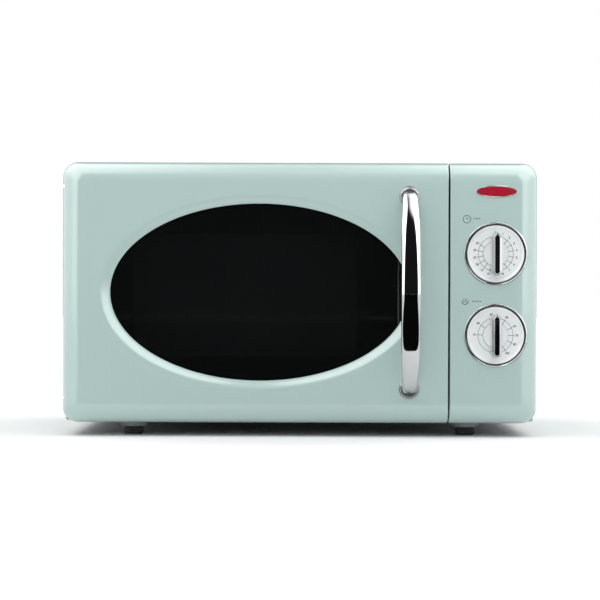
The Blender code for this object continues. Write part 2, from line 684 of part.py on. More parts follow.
def outer_cabinet():
    """Sheet wrap over both sides and the top, with air slots at the right rear."""
    steps = 6
    radius = CORNER_RADIUS - CABINET_INSET
    side, top, bottom = CABINET_SIDE, CABINET_TOP, PLATE_BOTTOM + 0.001
    path = [(-side, bottom)]
    for centre, start in ((-side + radius, 180), (side - radius, 90)):
        for i in range(steps + 1):
            angle = math.radians(start - 90 * i / steps)
            path.append((centre + radius * math.cos(angle), top - radius + radius * math.sin(angle)))
    path.append((side, bottom))
    mesh = bmesh.new()
    rows = [[mesh.verts.new((x, depth(d), z)) for x, z in path] for d in (SHELL_FRONT, BODY_DEPTH)]
    for i in range(len(path) - 1):
        mesh.faces.new((rows[0][i], rows[0][i + 1], rows[1][i + 1], rows[1][i]))
    bmesh.ops.recalc_face_normals(mesh, faces=mesh.faces)
    cabinet = from_bmesh("outer_cabinet", mesh, "cabinet_paint")
    wall = cabinet.modifiers.new("wall", "SOLIDIFY")
    wall.thickness = CABINET_WALL
    wall.offset = -1.0 if cabinet.data.polygons[0].normal.x < 0 else 1.0
    for i in range(8):
        d = BODY_DEPTH - 0.105 + 0.009 * i
        cut(cabinet, box(f"air_slot_{i}", at(side - 0.004, d, HEIGHT - 0.110),
                         at(side + 0.004, d + 0.004, HEIGHT - 0.062)))
    return shade_round(cabinet)


def foot_places():
    """Names with the X and depth of the four feet."""
    rows = (("front", FOOT_FRONT), ("rear", BODY_DEPTH - FOOT_REAR))
    columns = (("left", LEFT + FOOT_INSET), ("right", RIGHT - FOOT_INSET))
    return [(f"{row}_{column}", x, d) for row, d in rows for column, x in columns]


def base_plate():
    """Bottom sheet, pressed down into a tapered boss over each foot."""
    plate = box("base_plate", at(-INNER_SIDE, SHELL_FRONT, PLATE_BOTTOM),
                at(INNER_SIDE, PANEL_FRONT - CLEAR, PLATE_TOP),
                "zinc_sheet")
    low = FOOT_HEIGHT + CLEAR
    small = FOOT_BOSS - 0.004
    for name, x, d in foot_places():
        join(plate, rod(f"boss_{name}", at(x, d, low), at(x, d, PLATE_TOP - 0.0002), small,
                        end_radius=FOOT_BOSS,
                        segments=16))
    for name, x, d in foot_places():
        cut(plate,
            rod(f"boss_inside_{name}", at(x, d, low + SHEET), at(x, d, PLATE_TOP + 0.0005), small - SHEET,
                end_radius=FOOT_BOSS - SHEET + 0.0003, segments=16),
            rod(f"foot_hole_{name}", at(x, d, low - 0.002), at(x, d, low + 0.004), 0.0032, segments=12))
    return plate


def feet():
    """Rubber feet with stems pushed up through the bosses."""
    profile = [(0.0, FOOT_HEIGHT + 0.0035), (0.0029, FOOT_HEIGHT + 0.0035), (0.0029, FOOT_HEIGHT),
               (FOOT_RADIUS, FOOT_HEIGHT), (FOOT_RADIUS, 0.001), (FOOT_RADIUS - 0.001, 0.0), (0.0, 0.0)]
    return [shade_round(lathe(f"foot_{name}", profile, at(x, d, 0), (0, 0, 1), "black_rubber", steps=16,
                              closed=False))
            for name, x, d in foot_places()]


def front_frame():
    """Steel frame behind door and panel, open over the cavity and the control bay."""
    outline = rounded_rectangle(-CABINET_SIDE, CABINET_SIDE, PLATE_BOTTOM, CABINET_TOP,
                                CORNER_RADIUS - CABINET_INSET)
    frame = prism("front_frame", outline, "Y", depth(FRAME_FRONT), depth(FRAME_BACK), "zinc_sheet")
    near, far = FRAME_FRONT - 0.002, FRAME_BACK + 0.002
    cut(frame, box("cavity_mouth", at(CAVITY_LEFT, near, CAVITY_FLOOR),
                   at(CAVITY_RIGHT, far, CAVITY_CEILING)),
        box("bay_mouth", at(PANEL_LEFT + 0.006, near, FRONT_BOTTOM + 0.030),
            at(INNER_SIDE - 0.004, far, HEIGHT - 0.014)))
    for end, z in enumerate(LATCH_Z):
        cut(frame, box(f"latch_slot_{end}", at(LATCH_X[0] - 0.0012, near, z - 0.010),
                       at(LATCH_X[1] + 0.0025, far, z + 0.013)))
    for end, z in enumerate(LUG_Z):
        half = LUG_THICKNESS / 2 + CLEAR
        cut(frame, box(f"lug_gap_{end}", at(PIN_X - LUG_HALF_WIDTH - CLEAR, near, z - half),
                       at(PIN_X + LUG_HALF_WIDTH + CLEAR, far, z + half)))
    return frame


def back_panel():
    """Rear sheet with a fan grille and the mains gland's hole."""
    outline = rounded_rectangle(-INNER_SIDE, INNER_SIDE, PLATE_BOTTOM + 0.001, INNER_TOP,
                                CORNER_RADIUS - CABINET_INSET)
    panel = prism("back_panel", outline, "Y", depth(PANEL_FRONT), depth(PANEL_FRONT + SHEET), "zinc_sheet")
    near, far = PANEL_FRONT - 0.002, BODY_DEPTH + 0.002
    for i in range(7):
        z = FAN_Z + 0.0095 * (i - 3)
        half = math.sqrt(FAN_RADIUS ** 2 - (z - FAN_Z) ** 2) - 0.004
        cut(panel, box(f"grille_slot_{i}", at(FAN_X - half, near, z - 0.0025),
                       at(FAN_X + half, far, z + 0.0025)))
    return cut(panel, rod("gland_hole", at(GLAND_X, near, GLAND_Z), at(GLAND_X, far, GLAND_Z), 0.0072,
                          segments=20))


def cord_gland():
    """Bush in the back panel where a mains lead would leave."""
    front, back = PANEL_FRONT, BODY_DEPTH - PANEL_FRONT
    profile = [(0.0100, back), (0.0100, back - 0.0002), (0.0069, back - 0.0002), (0.0069, -0.004),
               (0.0040, -0.004),
               (0.0040, back)]
    return lathe("cord_gland", profile, at(GLAND_X, front, GLAND_Z), (0, 1, 0), "black_plastic", steps=16)


def cavity():
    """Oven box, open at the front, with lamp, waveguide, grill and drive openings."""
    wall = CAVITY_WALL
    shell = box("cavity", at(CAVITY_LEFT - wall, SHELL_FRONT, CAVITY_FLOOR - wall),
                at(CAVITY_RIGHT + wall, CAVITY_BACK + wall, CAVITY_CEILING + wall), "oven_paint")
    cut(shell, box("cavity_inside", at(CAVITY_LEFT, 0, CAVITY_FLOOR),
                   at(CAVITY_RIGHT, CAVITY_BACK, CAVITY_CEILING)),
        rod("drive_hole", at(TURN_X, TURN_DEPTH, CAVITY_FLOOR - 0.004),
            at(TURN_X, TURN_DEPTH, CAVITY_FLOOR + 0.004), 0.006),
        box("microwave_port", at(CAVITY_RIGHT - 0.002, PORT_DEPTH[0], PORT_Z[0]),
            at(CAVITY_RIGHT + 0.004, PORT_DEPTH[1], PORT_Z[1])))
    for i in range(6):
        d = TURN_DEPTH - 0.0275 + 0.010 * i
        cut(shell, box(f"grill_slot_{i}", at(TURN_X - 0.055, d, CAVITY_CEILING - 0.003),
                       at(TURN_X + 0.055, d + 0.004, CAVITY_CEILING + 0.003)))
    for i in range(3):
        d = LAMP_DEPTH - 0.0065 + 0.005 * i
        cut(shell, box(f"lamp_slot_{i}", at(CAVITY_RIGHT - 0.003, d, LAMP_Z - 0.007),
                       at(CAVITY_RIGHT + 0.003, d + 0.002, LAMP_Z + 0.007)))
    return shell


def waveguide_cover():
    """Mica sheet over the microwave port."""
    return box("waveguide_cover", at(CAVITY_RIGHT - CLEAR - 0.0008, PORT_DEPTH[0] - 0.006, PORT_Z[0] - 0.006),
               at(CAVITY_RIGHT - CLEAR, PORT_DEPTH[1] + 0.006, PORT_Z[1] + 0.006), "mica")


def grill():
    """Reflector over the ceiling slots and two quartz tubes across it."""
    half_width, half_depth = 0.072, 0.037
    low, high = CAVITY_CEILING + CAVITY_WALL + CLEAR, INNER_TOP - 0.0025
    reflector = box("grill_reflector", at(TURN_X - half_width, TURN_DEPTH - half_depth, low),
                    at(TURN_X + half_width, TURN_DEPTH + half_depth, high), "steel")
    cut(reflector, box("reflector_inside", at(TURN_X - half_width + SHEET, TURN_DEPTH - half_depth + SHEET,
                                              low - 0.002),
                       at(TURN_X + half_width - SHEET, TURN_DEPTH + half_depth - SHEET, high - SHEET)))
    tubes = []
    z = (low + high) / 2
    for name, shift in (("front", -0.016), ("rear", 0.016)):
        d = TURN_DEPTH + shift
        reach = half_width + 0.005
        tubes.append(rod(f"quartz_tube_{name}", at(TURN_X - reach, d, z), at(TURN_X + reach, d, z), 0.0045,
                         "quartz",
                         segments=16))
        cut(reflector, rod(f"tube_hole_{name}", at(TURN_X - reach, d, z), at(TURN_X + reach, d, z),
                           0.0045 + CLEAR,
                           segments=16))
    return [reflector, *tubes]


def turntable_motor():
    top = CAVITY_FLOOR - CAVITY_WALL - CLEAR
    motor = rod("turntable_motor", at(TURN_X, TURN_DEPTH, top - MOTOR_HEIGHT), at(TURN_X, TURN_DEPTH, top),
                MOTOR_RADIUS,
                "zinc_sheet", segments=32)
    return cut(motor, rod("motor_bore", at(TURN_X, TURN_DEPTH, top - 0.008),
                          at(TURN_X, TURN_DEPTH, top + 0.002),
                          SHAFT_RADIUS + 0.0008, segments=16))


def turntable_coupler():
    """Drive shaft with a three-lobed head under the tray."""
    low = CAVITY_FLOOR - CAVITY_WALL - 0.007
    coupler = rod("turntable_coupler", at(TURN_X, TURN_DEPTH, low),
                  at(TURN_X, TURN_DEPTH, TRAY_BOTTOM - 0.004),
                  SHAFT_RADIUS + 0.0005, "white_plastic", segments=16)
    for i in range(3):
        angle = math.radians(90 + 120 * i)
        x, y = TURN_X + 0.008 * math.cos(angle), 0.008 * math.sin(angle)
        join(coupler, rod(f"lobe_{i}", at(x, TURN_DEPTH + y, CAVITY_FLOOR + 0.003),
                          at(x, TURN_DEPTH + y, TRAY_BOTTOM - CLEAR), 0.0048, segments=16))
    return join(coupler, rod("coupler_hub", at(TURN_X, TURN_DEPTH, CAVITY_FLOOR + 0.0022),
                             at(TURN_X, TURN_DEPTH, TRAY_BOTTOM - CLEAR), 0.0075, segments=20))


def roller_ring():
    """Plastic ring with three stub axles, and the rollers that run on them."""
    outer = ROLLER_CIRCLE - ROLLER_WIDTH / 2 - 0.001
    profile = [(outer, 0.0022), (outer, -0.0022), (outer - ROLLER_RING, -0.0022),
               (outer - ROLLER_RING, 0.0022)]
    ring = lathe("roller_ring", profile, at(TURN_X, TURN_DEPTH, ROLLER_Z), (0, 0, 1), "white_plastic",
                 steps=32)
    rollers = []
    for i in range(3):
        angle = math.radians(90 + 120 * i)
        out = Vector((math.cos(angle), math.sin(angle), 0.0))
        centre = at(TURN_X, TURN_DEPTH, ROLLER_Z)
        join(ring, rod(f"stub_{i}", centre + out * (outer - 0.003), centre + out * (ROLLER_CIRCLE + 0.003),
                       0.0016,
                       segments=14))
        half = ROLLER_WIDTH / 2
        shape = [(ROLLER_RADIUS - 0.0008, half), (ROLLER_RADIUS, half - 0.0015),
                 (ROLLER_RADIUS, -half + 0.0015),
                 (ROLLER_RADIUS - 0.0008, -half), (0.0020, -half), (0.0020, half)]
        rollers.append(shade_round(lathe(f"roller_{i + 1}", shape, centre + out * ROLLER_CIRCLE, out,
                                         "white_plastic",
                                         steps=16)))
    return ring, rollers


def turntable_tray():
    """Glass plate with a raised rim and a foot ring round the coupler."""
    edge, top = TRAY_RADIUS, TRAY_THICKNESS
    profile = [(0.0, top), (edge - 0.014, top), (edge - 0.006, TRAY_RIM), (edge - 0.001, TRAY_RIM),
               (edge, TRAY_RIM - 0.001),
               (edge - 0.006, 0.001), (edge - 0.012, 0.0), (0.0165, 0.0), (0.0165, -0.005), (0.0142, -0.005),
               (0.0142, 0.0), (0.0, 0.0)]
    return shade_round(lathe("turntable_tray", profile, at(TURN_X, TURN_DEPTH, TRAY_BOTTOM), (0, 0, 1),
                             "clear_glass",
                             steps=36, closed=False))


def wire_rack():
    """Grill rack: a wire ring, cross wires and four cranked legs."""
    tray_top = TRAY_BOTTOM + TRAY_THICKNESS
    ring_z = tray_top + RACK_HEIGHT - RACK_WIRE
    centre = at(TURN_X, TURN_DEPTH, ring_z)
    section = [(RACK_RADIUS + RACK_WIRE * math.cos(a), RACK_WIRE * math.sin(a))
               for a in (-2 * math.pi * (i + 0.5) / 8 for i in range(8))]
    rack = lathe("wire_rack", section, centre, (0, 0, 1), "chrome", steps=32)
    for i in range(-3, 4):
        x = i * 0.0155
        half = math.sqrt(RACK_RADIUS ** 2 - x ** 2)
        join(rack, rod(f"cross_wire_{i + 4}", centre + Vector((x, -half, 0)), centre + Vector((x, half, 0)),
                       0.0013,
                       segments=8))
    foot_z = tray_top + CLEAR
    for i, degrees in enumerate((LEG_ANGLE, 180 - LEG_ANGLE, 180 + LEG_ANGLE, 360 - LEG_ANGLE)):
        angle = math.radians(degrees)
        out = Vector((math.cos(angle), math.sin(angle), 0.0))
        knee = centre + out * (RACK_RADIUS + 0.004) - Vector((0, 0, 0.010))
        join(rack, rod(f"leg_top_{i}", centre + out * (RACK_RADIUS - 0.0005), knee, RACK_WIRE * 0.95,
                       segments=10),
             rod(f"leg_{i}", knee + Vector((0, 0, 0.0008)), Vector((knee.x, knee.y, foot_z)), RACK_WIRE,
                 segments=10))
    return rack


def waveguide():
    """Sheet duct from the magnetron to the microwave port."""
    left, right = BAY_LEFT + CLEAR, BAY_LEFT + DUCT_WIDTH
    front, back = PORT_DEPTH[0] - DUCT_END, PORT_DEPTH[1] + DUCT_END
    low, high = PORT_Z[0] - 0.015, PORT_Z[1] + 0.015
    duct = box("waveguide", at(left, front, low), at(right, back, high), "zinc_sheet")
    return cut(duct, box("duct_inside", at(left + SHEET, front + SHEET, low + SHEET),
                         at(right - SHEET, back - SHEET, high - SHEET)),
               box("duct_port", at(left - 0.002, PORT_DEPTH[0], PORT_Z[0]),
                   at(left + 0.004, PORT_DEPTH[1], PORT_Z[1])),
               rod("antenna_hole", at(right - 0.004, MAGNETRON_DEPTH, MAGNETRON_Z),
                   at(right + 0.003, MAGNETRON_DEPTH, MAGNETRON_Z),
                   0.0100))


def magnetron():
    """Yoke with cooling fins round the anode, antenna pointing into the waveguide."""
    left = BAY_LEFT + DUCT_WIDTH + CLEAR
    right = left + 0.052
    d, z = MAGNETRON_DEPTH, MAGNETRON_Z
    half = 0.036
    body = box("magnetron", at(left, d - half, z - 0.030), at(right, d + half, z + 0.030), "steel")
    cut(body, box("yoke_inside", at(left + 0.0025, d - half + 0.0025, z - 0.040),
                  at(right - 0.0025, d + half - 0.0025, z + 0.040)))
    join(body, rod("anode", at(left + 0.001, d, z), at(right - 0.001, d, z), 0.018, segments=24))
    for i in range(5):
        x = left + 0.009 + 0.0082 * i
        join(body, box(f"fin_{i}", at(x, d - half + 0.0015, z - 0.026),
                       at(x + 0.001, d + half - 0.0015, z + 0.026)))
    return join(body, rod("antenna", at(left - 0.016, d, z), at(left + 0.002, d, z), 0.0085, segments=20))


def transformer():
    """Laminated core with primary and secondary coils on its middle limb."""
    x = BAY_LEFT + 0.060
    d = BODY_DEPTH - CORE_REAR
    low = PLATE_TOP + CLEAR
    high = low + CORE_HEIGHT
    half, middle, stack = CORE_WIDTH / 2, 0.013, CORE_STACK / 2
    core = box("transformer_core", at(x - half, d - stack, low), at(x + half, d + stack, high), "steel")
    slot_low, slot_high = low + 0.0105, high - 0.0105
    for name, start, end in (("left", -half + CORE_LIMB - 0.004, -middle),
                             ("right", middle, half - CORE_LIMB + 0.004)):
        cut(core, box(f"core_slot_{name}", at(x + start, d - stack - 0.002, slot_low),
                      at(x + end, d + stack + 0.002, slot_high)))
    coils = []
    space = (slot_high - slot_low - 3 * CLEAR) / 2
    for i, (name, finish) in enumerate((("primary_winding", "copper"), ("secondary_winding", "copper"))):
        z = slot_low + CLEAR + i * (space + CLEAR)
        outer, deep = half - CORE_LIMB + 0.004 - CLEAR, stack + 0.012
        coil = box(name, at(x - outer, d - deep, z), at(x + outer, d + deep, z + space), finish)
        coils.append(cut(coil, box(f"{name}_hole", at(x - middle - CLEAR, d - stack - CLEAR, z - 0.002),
                                   at(x + middle + CLEAR, d + stack + CLEAR, z + space + 0.002))))
    return [core, *coils]


def capacitor():
    """Oval high-voltage capacitor with two tab terminals."""
    x, low = BAY_LEFT + 0.062, PLATE_TOP + CLEAR
    front, back = BODY_DEPTH - 0.112, BODY_DEPTH - 0.052
    outline = rounded_rectangle(x - 0.026, x + 0.026, low, low + 0.030, 0.0149, steps=8)
    can = prism("capacitor", outline, "Y", depth(front), depth(back), "steel")
    for i in (-1, 1):
        join(can, box(f"tab_{i + 1}", at(x + 0.010 * i - 0.003, front - 0.007, low + 0.0145),
                      at(x + 0.010 * i + 0.003, front + 0.001, low + 0.0155)))
    return can


def fan():
    """Cooling fan: shroud plate, bladed impeller and its motor on the back panel."""
    front = BODY_DEPTH - 0.045
    plate = box("fan_shroud", at(BAY_LEFT + 0.002, front, PLATE_TOP + CLEAR),
                at(INNER_SIDE - 0.004, front + 0.0015, FAN_Z + 0.050),
                "zinc_sheet")
    cut(plate, rod("shroud_hole", at(FAN_X, front - 0.002, FAN_Z), at(FAN_X, front + 0.004, FAN_Z),
                   FAN_RADIUS + 0.002,
                   segments=40))
    hub_front = front + 0.003
    wheel = rod("fan_impeller", at(FAN_X, hub_front, FAN_Z), at(FAN_X, hub_front + 0.012, FAN_Z), 0.010,
                "black_plastic")
    for i in range(5):
        blade = box(f"blade_{i}", (-0.009, -0.0006, 0.008), (0.009, 0.0006, FAN_RADIUS - 0.001))
        turn = Matrix.Rotation(math.radians(72 * i), 4, "Y") @ Matrix.Rotation(math.radians(32), 4, "Z")
        blade.data.transform(Matrix.Translation(blade.location))
        blade.location = (0, 0, 0)
        blade.matrix_world = Matrix.Translation(at(FAN_X, hub_front + 0.006, FAN_Z)) @ turn
        join(wheel, blade)
    cut(wheel, rod("impeller_bore", at(FAN_X, hub_front + 0.003, FAN_Z),
                   at(FAN_X, hub_front + 0.015, FAN_Z), 0.0023,
                   segments=12))
    motor_front = hub_front + 0.016
    motor = box("fan_motor", at(FAN_X - 0.024, motor_front, FAN_Z - 0.016),
                at(FAN_X + 0.024, PANEL_FRONT - CLEAR, FAN_Z + 0.016),
                "steel")
    join(motor, rod("motor_shaft", at(FAN_X, hub_front + 0.004, FAN_Z),
                    at(FAN_X, motor_front + 0.001, FAN_Z), 0.0020,
                    segments=12))
    return [plate, wheel, motor]


def interlock():
    """Bracket behind the latch slots with its catches, and the two door switches."""
    left, right = BAY_LEFT + 0.001, LATCH_X[1] + 0.010
    low, high = LATCH_Z[0] - 0.014, LATCH_Z[1] + 0.024
    front = SHELL_FRONT
    bracket = box("interlock_bracket", at(left, front, low), at(right, front + 0.028, high), "white_plastic")
    cut(bracket, box("bracket_inside", at(left - 0.002, front + 0.0015, low - 0.002),
                     at(right - 0.002, front + 0.040, high + 0.002)))
    for end, z in enumerate(LATCH_Z):
        cut(bracket, box(f"bracket_slot_{end}", at(LATCH_X[0] - 0.0012, front - 0.002, z - 0.010),
                         at(LATCH_X[1] + 0.0025, front + 0.004, z + 0.013)))
        join(bracket, box(f"catch_{end}", at(left + 0.002, front + 0.001, z - 0.0145),
                          at(right - 0.001, front + 0.012, z - 0.0115)))
    switches = []
    for name, z in zip(("lower_switch", "upper_switch"), LATCH_Z):
        case = box(name, at(LATCH_X[0] - 0.002, HOOK_REACH + 0.0035, z - 0.010),
                   at(LATCH_X[1] + 0.0025, HOOK_REACH + 0.0135, z + 0.010),
                   "black_plastic")
        join(bracket, box(f"{name}_shelf", at(left + 0.002, front + 0.001, z - 0.0135),
                          at(right - 0.001, HOOK_REACH + 0.013, z - 0.0115)))
        middle = (LATCH_X[0] + LATCH_X[1]) / 2
        switches.append(join(case, box(f"{name}_button", at(middle - 0.0015, HOOK_REACH + 0.0015, z - 0.002),
                                       at(middle + 0.0015, HOOK_REACH + 0.004, z + 0.002))))
    return [bracket, *switches]


def lamp():
    """Oven lamp beside the cavity's slots."""
    profile = [(0.0, 0.0), (0.006, -0.001), (0.009, -0.006), (0.009, -0.016), (0.007, -0.018),
               (0.007, -0.026), (0.0, -0.026)]
    return shade_round(lathe("lamp", profile, at(BAY_LEFT + CLEAR, LAMP_DEPTH, LAMP_Z), (-1, 0, 0), "quartz",
                             steps=20, closed=False))


def filter_board():
    """Mains filter board with its choke and fuse, under the roof."""
    low = INNER_TOP - 0.024
    front, back = BODY_DEPTH - 0.125, BODY_DEPTH - 0.062
    left = BAY_LEFT + 0.034
    board = box("filter_board", at(left, front, low), at(left + 0.070, back, low + 0.0016), "board_green")
    return join(board, rod("choke", at(left + 0.018, front + 0.030, low + 0.001),
                           at(left + 0.018, front + 0.030, low + 0.014),
                           0.011, segments=20),
                box("fuse", at(left + 0.038, front + 0.010, low + 0.001),
                    at(left + 0.046, front + 0.034, low + 0.008)),
                box("relay", at(left + 0.050, front + 0.012, low + 0.001),
                    at(left + 0.064, front + 0.030, low + 0.015)))


def build():
    """Model every piece and hang the moving ones on their axes."""
    outer_cabinet()
    base_plate()
    back_panel()
    front_frame()
    feet()
    cord_gland()
    cavity()
    hinges()
    control_panel()
    badge()
    latch_bar = latch_hooks()
    door = [door_frame(), door_glass(), door_plate(), door_inner_sheet(), choke_cover(), latch_spring(),
            handle(),
            *handle_ferrules()]
    door_pivot = pivot("door_pivot", at(PIN_X, PIN_DEPTH, LUG_Z[0]), door)
    latch_slide = pivot("latch_slide", at(LATCH_X[0], BAR_FRONT, LATCH_Z[0]), [latch_bar])
    latch_slide.parent = door_pivot
    latch_slide.matrix_parent_inverse = Matrix.Translation(door_pivot.location).inverted()
    for name in DIAL_Z:
        dial_bezel(name)
        dial_plate(name)
        pivot(f"{name}_axis", at(DIAL_X, 0, DIAL_Z[name]), [dial_knob(name), dial_shaft(name)])
    rotary_switch("timer", "time", 0.026, 0.025, 0.036, 0.019, 0.012)
    rotary_switch("power_selector", "power", 0.024, 0.023, 0.030, 0.010, 0.008)
    turntable_motor()
    turntable_coupler()
    roller_ring()
    turntable_tray()
    wire_rack()
    waveguide_cover()
    grill()
    waveguide()
    magnetron()
    transformer()
    capacitor()
    fan()
    interlock()
    lamp()
    filter_board()


for old in list(bpy.data.objects):
    bpy.data.objects.remove(old)
PARTS = new_collection("microwave_oven")
CUTTERS = new_collection("cutters")
build()
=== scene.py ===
"""Countertop microwave oven: the visible finish of every piece, built round its working model."""
import math

import bmesh
import bpy
from mathutils import Matrix, Vector


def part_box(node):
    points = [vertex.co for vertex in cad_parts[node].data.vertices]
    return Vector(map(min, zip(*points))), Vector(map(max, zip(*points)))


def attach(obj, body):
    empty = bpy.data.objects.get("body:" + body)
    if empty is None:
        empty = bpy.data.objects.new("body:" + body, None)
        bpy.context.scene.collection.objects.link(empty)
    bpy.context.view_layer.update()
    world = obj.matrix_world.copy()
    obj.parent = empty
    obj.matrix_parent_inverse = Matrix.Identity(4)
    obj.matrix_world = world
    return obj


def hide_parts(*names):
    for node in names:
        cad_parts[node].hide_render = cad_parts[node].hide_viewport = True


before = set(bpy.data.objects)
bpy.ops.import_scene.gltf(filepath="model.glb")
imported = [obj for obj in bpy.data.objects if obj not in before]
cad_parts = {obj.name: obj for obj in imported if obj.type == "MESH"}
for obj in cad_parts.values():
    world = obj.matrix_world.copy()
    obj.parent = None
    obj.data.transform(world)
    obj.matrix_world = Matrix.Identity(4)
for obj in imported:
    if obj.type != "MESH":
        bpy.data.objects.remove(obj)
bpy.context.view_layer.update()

# ---- Studio -------------------------------------------------------------------------------------
# A pale seamless floor, white light tents at both sides, a pale sky and a soft box high in front. The
# tents leave a dark gap between them, so that polished metal shows a dark middle with bright sides.
CAMERA_PLACE = Vector((0.0003, -2.2135, 0.1306))
CAMERA_ROLL = 0.2
LENS = 130.0

camera_data = bpy.data.cameras.new("camera")
camera_data.lens = LENS
camera_data.sensor_width = 36.0
camera = bpy.data.objects.new("camera", camera_data)
bpy.context.scene.collection.objects.link(camera)
camera.matrix_world = (Matrix.Translation(CAMERA_PLACE) @ Matrix.Rotation(math.radians(90), 4, "X")
                       @ Matrix.Rotation(math.radians(CAMERA_ROLL), 4, "Z"))
bpy.context.scene.camera = camera
bpy.context.scene.view_settings.view_transform = "Standard"


class Wire:
    """One output socket of a node tree. Arithmetic on it adds Math nodes."""

    def __init__(self, tree, socket=None):
        self.tree = tree
        self.socket = socket

    def node(self, kind, settings=None, values=None, out=0):
        """Any node: its settings first, then values or links for its sockets."""
        made = self.tree.nodes.new("ShaderNode" + kind)
        for name, value in (settings or {}).items():
            setattr(made, name, value)
        for name, value in (values or {}).items():
            if isinstance(value, Wire):
                self.tree.links.new(value.socket, made.inputs[name])
            else:
                made.inputs[name].default_value = value
        return Wire(self.tree, made.outputs[out])

    def math(self, operation, *others):
        return self.node("Math", {"operation": operation}, dict(enumerate((self, *others))))

    def flipped(self, operation, other):
        return self.node("Math", {"operation": operation}, {0: other, 1: self})

    def __add__(self, other):
        return self.math("ADD", other)

    def __radd__(self, other):
        return self.math("ADD", other)

    def __sub__(self, other):
        return self.math("SUBTRACT", other)

    def __rsub__(self, other):
        return self.flipped("SUBTRACT", other)

    def __mul__(self, other):
        return self.math("MULTIPLY", other)

    def __rmul__(self, other):
        return self.math("MULTIPLY", other)

    def __truediv__(self, other):
        return self.math("DIVIDE", other)

    def __pow__(self, other):
        return self.math("POWER", other)

    def __abs__(self):
        return self.math("ABSOLUTE")

    def step(self, low, high):
        """0 below low, 1 above high, smooth between."""
        return self.node("MapRange", {"interpolation_type": "SMOOTHSTEP"},
                         {0: self, 1: low, 2: high, 3: 0.0, 4: 1.0})

    def fade(self, first, second):
        """The first colour where this is 0, the second where it is 1."""
        return self.node("Mix", {"data_type": "RGBA"}, {0: self, 6: (*first, 1.0), 7: (*second, 1.0)}, out=2)


def parts_of(vector):
    """The X, Y and Z of a vector socket."""
    return [vector.node("SeparateXYZ", values={0: vector}, out=i) for i in range(3)]


TENT_LIGHT = 0.60              # side tents, as matt surfaces receive them
TENT_EDGE = (0.16, 0.34)       # sideways lean at which they begin and are full
LOW_LIGHT = 0.045              # share of tent light that comes from all round
SKY_LIGHT = 1.05
SKY_EDGE = (0.45, 0.80)        # upward lean at which the sky begins and is full
TENT_SHINE = 4.3               # side tents, as polished surfaces show them
GAP_EDGE = (0.42, 0.54)        # sideways lean at which the dark gap between them ends
GAP_CLOSES = 0.42              # how far the gap closes overhead
SKY_SHINE = 0.6                # sky behind the oven, seen only in edges that face up
DARK = 0.012                   # light in the gap


def studio_world():
    """White to the eye. Matt surfaces see side tents and a sky, polished ones a dark gap in front."""
    world = bpy.data.worlds.new("studio")
    world.use_nodes = True
    tree = world.node_tree
    tree.nodes.clear()
    start = Wire(tree)
    x, y, z = parts_of(start.node("TexCoord", out=0))
    side = abs(x)
    soft = TENT_LIGHT * (side.step(*TENT_EDGE) * (0.14 + 1.34 * z.step(0.0, 0.7)) + LOW_LIGHT)
    soft = soft + SKY_LIGHT * z.step(*SKY_EDGE)
    tents = (side + GAP_CLOSES * z.step(0.0, 0.95)).step(*GAP_EDGE)
    shine = DARK + TENT_SHINE * tents * (0.6 + 0.4 * z.step(-0.3, 0.5)) * (1 - 0.6 * y.step(0.1, 0.7))
    shine = shine * (1 - 0.45 * side.step(0.75, 1.0))
    shine = shine + SKY_SHINE * z.step(0.5, 0.9) * y.step(0.0, 0.4)
    white = (1.0, 1.0, 1.0, 1.0)
    matt, polished, eye = (start.node("Background", values={0: white, 1: light})
                           for light in (soft, shine, 1.0))
    lit = start.node("MixShader", values={0: start.node("LightPath", out=3), 1: matt, 2: polished})
    seen = start.node("MixShader", values={0: start.node("LightPath", out=0), 1: lit, 2: eye})
    end = tree.nodes.new("ShaderNodeOutputWorld")
    tree.links.new(seen.socket, end.inputs["Surface"])
    bpy.context.scene.world = world


studio_world()


def soft_box(name, place, target, size, power):
    data = bpy.data.lights.new(name, "AREA")
    data.shape = "RECTANGLE"
    data.size, data.size_y = size
    data.energy = power
    lamp = bpy.data.objects.new(name, data)
    lamp.location = place
    lamp.rotation_euler = (Vector(target) - Vector(place)).to_track_quat("-Z", "Y").to_euler()
    bpy.context.scene.collection.objects.link(lamp)
    lamp.visible_glossy = False


soft_box("front_fill", (0.0, -2.4, 0.9), (0.0, 0.0, 0.12), (1.2, 0.8), 7.9)


def new_object(name, mesh):
    piece = bpy.data.objects.new(name, mesh)
    bpy.context.scene.collection.objects.link(piece)
    return piece


def from_bmesh(name, shape):
    mesh = bpy.data.meshes.new(name)
    shape.to_mesh(mesh)
    shape.free()
    return new_object(name, mesh)


def surface(name, base, roughness=0.5, metallic=0.0, bump=None, depth=0.0, extra=None):
    """A Principled material. Base, roughness and metallic may vary; extra sockets hold plain values."""
    material = bpy.data.materials.new(name)
    material.use_nodes = True
    tree = material.node_tree
    shader = tree.nodes["Principled BSDF"]
    wire = Wire(tree)
    for socket, value in (("Base Color", base), ("Roughness", roughness), ("Metallic", metallic)):
        value = value(wire) if callable(value) else value
        if isinstance(value, Wire):
            tree.links.new(value.socket, shader.inputs[socket])
        else:
            shader.inputs[socket].default_value = (*value, 1.0) if socket == "Base Color" else value
    if bump:
        raised = wire.node("Bump", values={"Strength": 1.0, "Distance": depth, "Height": bump(wire)})
        tree.links.new(raised.socket, shader.inputs["Normal"])
    for socket, value in (extra or {}).items():
        shader.inputs[socket].default_value = value
    return material


def place_of(wire):
    """Position in the oven's own frame, in metres."""
    return wire.node("TexCoord", out=3)


def noise(wire, scale, detail=3.0):
    return wire.node("TexNoise", values={"Vector": place_of(wire), "Scale": scale, "Detail": detail})


